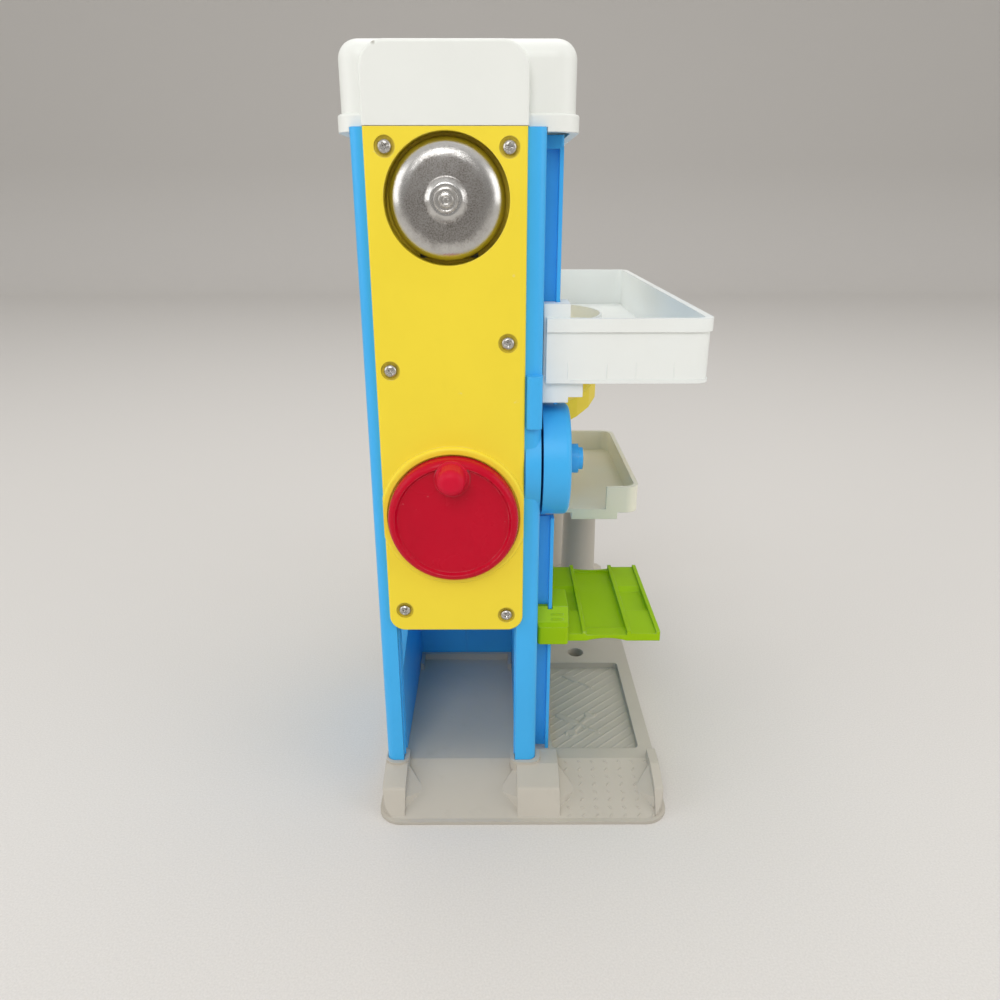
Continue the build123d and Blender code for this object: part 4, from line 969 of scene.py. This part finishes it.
# ------------------------------------------------------------------ screws
@dataclass
class ScrewDress:
    """The six cross-headed screws of the face panel, in millimetres."""

    head_radius: float = 3.1
    head_rise: float = 0.9
    front: float = -152.75
    seat: float = -151.2
    shank: float = 1.5
    cross_reach: float = 1.95
    cross_width: float = 0.45
    cross_depth: float = 1.3
    cross_edge: float = 0.22
    first_turn: float = 0.5
    next_turn: float = 0.9
    tail_length: float = 14.0
    rings: int = 26
    round_count: int = 72

    def places(self) -> np.ndarray:
        """Reads each screw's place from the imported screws.

        Points within a head's reach of each other belong to one screw, whose
        place is the middle of its box.

        Returns:
            One row (x, y, z) for each screw.
        """
        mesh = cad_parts["panel_screws"].data
        points = np.empty(len(mesh.vertices) * 3, dtype=np.float32)
        mesh.vertices.foreach_get("co", points)
        points = points.reshape(-1, 3) / MM
        found: list[np.ndarray] = []
        left = points
        while len(left):
            near = np.hypot(left[:, 0] - left[0, 0], left[:, 2] - left[0, 2]) < 3 * self.head_radius
            group = left[near]
            found.append((group.min(axis=0) + group.max(axis=0)) / 2)
            left = left[~near]
        return np.array(found)

    def head(self, turn: float) -> tuple[np.ndarray, np.ndarray]:
        """Works out one head as rings round its middle.

        The rise is a flat dome, rise times one less the fourth power of the
        share of the radius. The cross is cut by a smooth step of the smaller
        of the two distances to its arms, deeper towards the middle.

        Args:
            turn: How far the cross is turned.

        Returns:
            Points (x, y, z) about the screw's place, and faces.
        """
        share = np.linspace(0.001, 1.0, self.rings)[:, None]
        angle = np.linspace(0, 2 * math.pi, self.round_count, endpoint=False)[None, :]
        x = share * self.head_radius * np.cos(angle)
        z = share * self.head_radius * np.sin(angle)
        rise = self.head_rise * (1 - share ** 4) + 0 * x
        u = x * math.cos(turn) + z * math.sin(turn)
        v = z * math.cos(turn) - x * math.sin(turn)
        arm = np.minimum(np.abs(u), np.abs(v)) - self.cross_width
        reach = np.maximum(np.abs(u), np.abs(v)) - self.cross_reach
        edge = np.clip(0.5 - np.maximum(arm, reach) / self.cross_edge, 0, 1)
        depth = self.cross_depth * np.clip(1.25 - np.hypot(x, z) / self.cross_reach, 0.3, 1)
        y = -rise + edge * edge * (3 - 2 * edge) * depth
        rim = np.stack([x[-1], np.full(self.round_count, self.seat - self.front), z[-1]], axis=-1)
        neck = rim * np.array([self.shank / self.head_radius, 1, self.shank / self.head_radius])
        tail = neck + np.array([0.0, self.tail_length, 0.0])
        shell = np.stack([x, y, z], axis=-1).reshape(-1, 3)
        points = np.concatenate([shell, rim, neck, tail])
        return points, grid_faces(self.rings + 3, self.round_count, True)

    def build(self, paint: Paint) -> None:
        """Makes the screws as one piece of six closed forms.

        Args:
            paint: The finishes.
        """
        clouds, shapes, start = [], [], 0
        for index, place in enumerate(self.places()):
            points, faces = self.head(self.first_turn + self.next_turn * index)
            clouds.append(points + np.array([place[0], self.front, place[2]]))
            shapes.append(faces + start)
            start += len(points)
        piece = make_piece("cross_head_screws", np.concatenate(clouds) * MM, np.concatenate(shapes), "garage")
        paint.finish(piece, Finish.SCREW)
        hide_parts("panel_screws")


# ------------------------------------------------------------------ crank knob
@dataclass
class KnobDress:
    """The crank's knob: a slim grip with a round end on a thin foot, in millimetres."""

    axis_x: float = -39.5
    axis_z: float = 216.2
    seat_y: float = -161.9
    tip_y: float = -176.5
    foot_radius: float = 8.4
    foot_rise: float = 1.1
    grip_radius: float = 7.4
    tip_radius: float = 7.1
    tip_round: float = 4.6

    def build(self, paint: Paint) -> None:
        """Turns the knob's outline.

        Args:
            paint: The finishes.
        """
        foot_y = self.seat_y - self.foot_rise
        run = [(0.0, self.tip_y, 0), (self.tip_radius, self.tip_y, self.tip_round),
               (self.grip_radius, foot_y, 0.3), (self.foot_radius, foot_y, 0.5),
               (self.foot_radius, self.seat_y, 0), (0.0, self.seat_y, 0)]
        points, faces = turned(rounded_run(run, 12) * MM, (self.axis_x * MM, 0, self.axis_z * MM), Way.Y, 96)
        piece = make_piece("crank_knob_grip", points, faces, "crank")
        paint.finish(piece, Finish.KNOB_RED)
        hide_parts("crank_knob")


# ------------------------------------------------------------------ upper deck
@dataclass
class DeckDress:
    """The short upright ribs low on the upper deck's end wall, in millimetres."""

    wall_y: float = -142.0
    places: tuple[float, ...] = (21.9, 42.5, 57.8, 77.9)
    low: float = 263.0
    high: float = 273.0
    half_width: float = 0.4
    rise: float = 0.32

    def build(self, paint: Paint) -> None:
        """Makes the ribs.

        Args:
            paint: The finishes.
        """
        x = np.array(self.places)
        ends = [np.stack([x, np.full(len(x), self.wall_y), np.full(len(x), z)], axis=1)
                for z in (self.low, self.high)]
        points, faces = beads(ends[0], ends[1], (0.0, -1.0, 0.0), self.half_width, self.rise)
        paint.finish(make_piece("upper_deck_ribs", points * MM, faces, "garage"), Finish.CREAM)


# ------------------------------------------------------------------ hoist cord
@dataclass
class CordDress:
    """The falling run of the hoist cord, in millimetres; on the toy it lengthens as the car lift goes down.
    """

    radius: float = 0.8
    rings: int = 80
    sides: int = 14

    def build(self, paint: Paint) -> None:
        """Makes a tube of many rings over the imported falling run, which it hides.

        Args:
            paint: The finishes.
        """
        low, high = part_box("hoist_cord_drop")
        middle = (np.array(low) + np.array(high)) / 2
        height = np.linspace(high[2], low[2], self.rings)
        tube = np.stack([np.full(self.rings, self.radius * MM), height], axis=1)
        profile = np.concatenate([[[0.0, high[2]]], tube, [[0.0, low[2]]]])
        points, faces = turned(profile, (middle[0], middle[1], 0.0), Way.Z, self.sides)
        piece = make_piece("hoist_cord_falling", points, faces, None)
        paint.finish(piece, Finish.CORD)
        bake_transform(piece)
        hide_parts("hoist_cord_drop")


# ------------------------------------------------------------------ room
@dataclass
class Room:
    """Floor, backdrop, lamps and camera, in metres, degrees and watts."""

    level: float = 0.78
    shade: float = 0.42
    sky_colour: Colour = (1.0, 0.985, 0.965, 1.0)
    depth: float = 2.6
    cove: float = 0.5
    height: float = 2.4
    half: float = 9.0
    front: float = 9.0
    floor_tones: tuple[tuple[int, int, int], tuple[int, int, int]] = ((206, 203, 199), (216, 213, 209))
    camera_place: Triple = (-0.0156, -0.550, 0.352)
    camera_pitch: float = -21.06
    camera_turn: float = -0.22
    camera_lens: float = 28.04

    def floor(self) -> None:
        """Makes the pale floor and the wall behind it as one curved sheet.

        The sheet is a flat floor, a quarter-round cove and an upright wall, as
        (y, z) of an arc length, carried along X.
        """
        bend = np.linspace(0, math.pi / 2, 17)
        y = np.concatenate(([-self.front], self.depth + self.cove * np.sin(bend), [self.depth + self.cove]))
        z = np.concatenate(([0.0], self.cove - self.cove * np.cos(bend), [self.height]))
        count = len(y)
        grid = np.stack([np.repeat([-self.half, self.half], count), np.tile(y, 2), np.tile(z, 2)], axis=1)
        index = np.arange(count - 1)
        faces = np.stack([index, index + count, index + count + 1, index + 1], axis=1)
        mesh = bpy.data.meshes.new("floor")
        mesh.from_pydata(grid.tolist(), [], faces.tolist())
        mesh.polygons.foreach_set("use_smooth", np.ones(len(faces), dtype=bool))
        sheet = bpy.data.objects.new("floor", mesh)
        bpy.context.scene.collection.objects.link(sheet)
        t = Tree("floor_paper")
        at = t.place()
        dark, pale = (linear(*tone) for tone in self.floor_tones)
        tone = t.mix(t.ramp(t.noise(at, 900.0, 4.0), 0.3, 0.7), dark, pale)
        t.join(tone, t.shader.inputs["Base Color"])
        t.shader.inputs["Roughness"].default_value = 0.9
        t.join(t.bump(t.noise(at, 700.0, 3.0), 0.15, 0.0006), t.shader.inputs["Normal"])
        mesh.materials.append(t.material)

    def lamp(self, name: str, place: Triple, aim: Triple, size: float, power: float) -> None:
        """Adds a soft square lamp.

        Args:
            name: The lamp's name.
            place: Where it hangs.
            aim: The point it faces.
            size: Side of its square, in metres.
            power: Its power, in watts.
        """
        data = bpy.data.lights.new(name, "AREA")
        data.size = size
        data.energy = power
        lamp = bpy.data.objects.new(name, data)
        lamp.location = place
        way = np.array(aim) - np.array(place)
        flat = math.hypot(way[0], way[1])
        lamp.rotation_euler = (math.atan2(flat, -way[2]), 0.0, math.atan2(way[1], way[0]) - math.pi / 2)
        bpy.context.scene.collection.objects.link(lamp)

    def light(self) -> None:
        """Hangs the lamps and sets the world, then the plain view transform."""
        self.lamp("key", place=(-0.25, -1.45, 1.25), aim=(0.0, -0.05, 0.2), size=0.8, power=9.0)
        self.lamp("right", place=(1.5, -0.6, 0.75), aim=(0.0, 0.0, 0.25), size=1.0, power=4.5)
        self.lamp("left", place=(-1.5, -0.6, 0.75), aim=(0.0, 0.0, 0.25), size=1.0, power=4.5)
        self.lamp("top", place=(0.1, 0.6, 1.9), aim=(0.0, 0.1, 0.2), size=1.5, power=8.0)
        bpy.context.scene.world = self.sky()
        bpy.context.scene.view_settings.view_transform = "Standard"

    def sky(self) -> bpy.types.World:
        """Makes an even pale world that is a little darker behind the camera.

        The strength at direction (x, y, z) falls by the shade as y nears -1.

        Returns:
            The world.
        """
        world = bpy.data.worlds.new("studio")
        world.use_nodes = True
        back = world.node_tree.nodes["Background"]
        t = Tree.over(world.node_tree)
        parts = t.add("ShaderNodeSeparateXYZ")
        t.join(t.add("ShaderNodeTexCoord").outputs["Generated"], parts.inputs["Vector"])
        level = t.ramp(parts.outputs["Y"], -0.50, -0.95, self.level, self.level - self.shade)
        t.join(level, back.inputs["Strength"])
        back.inputs["Color"].default_value = self.sky_colour
        return world

    def camera(self) -> None:
        """Places the camera as the photograph's was worked out from its vanishing points."""
        data = bpy.data.cameras.new("camera")
        data.sensor_width = 36.0
        data.lens = self.camera_lens
        camera = bpy.data.objects.new("camera", data)
        camera.location = self.camera_place
        camera.rotation_euler = (math.radians(90 + self.camera_pitch), 0.0, math.radians(self.camera_turn))
        bpy.context.scene.collection.objects.link(camera)
        bpy.context.scene.camera = camera


def main() -> None:
    """Builds the pieces in order."""
    logging.basicConfig(level=logging.INFO, format="%(message)s")
    paint = Paint()
    paint.coat_frame()
    for dress in (BaseDress(), BellDress(), ScrewDress(), KnobDress(), DeckDress(), CordDress()):
        dress.build(paint)
    room = Room()
    room.floor()
    room.light()
    room.camera()


if __name__ == "__main__":
    main()
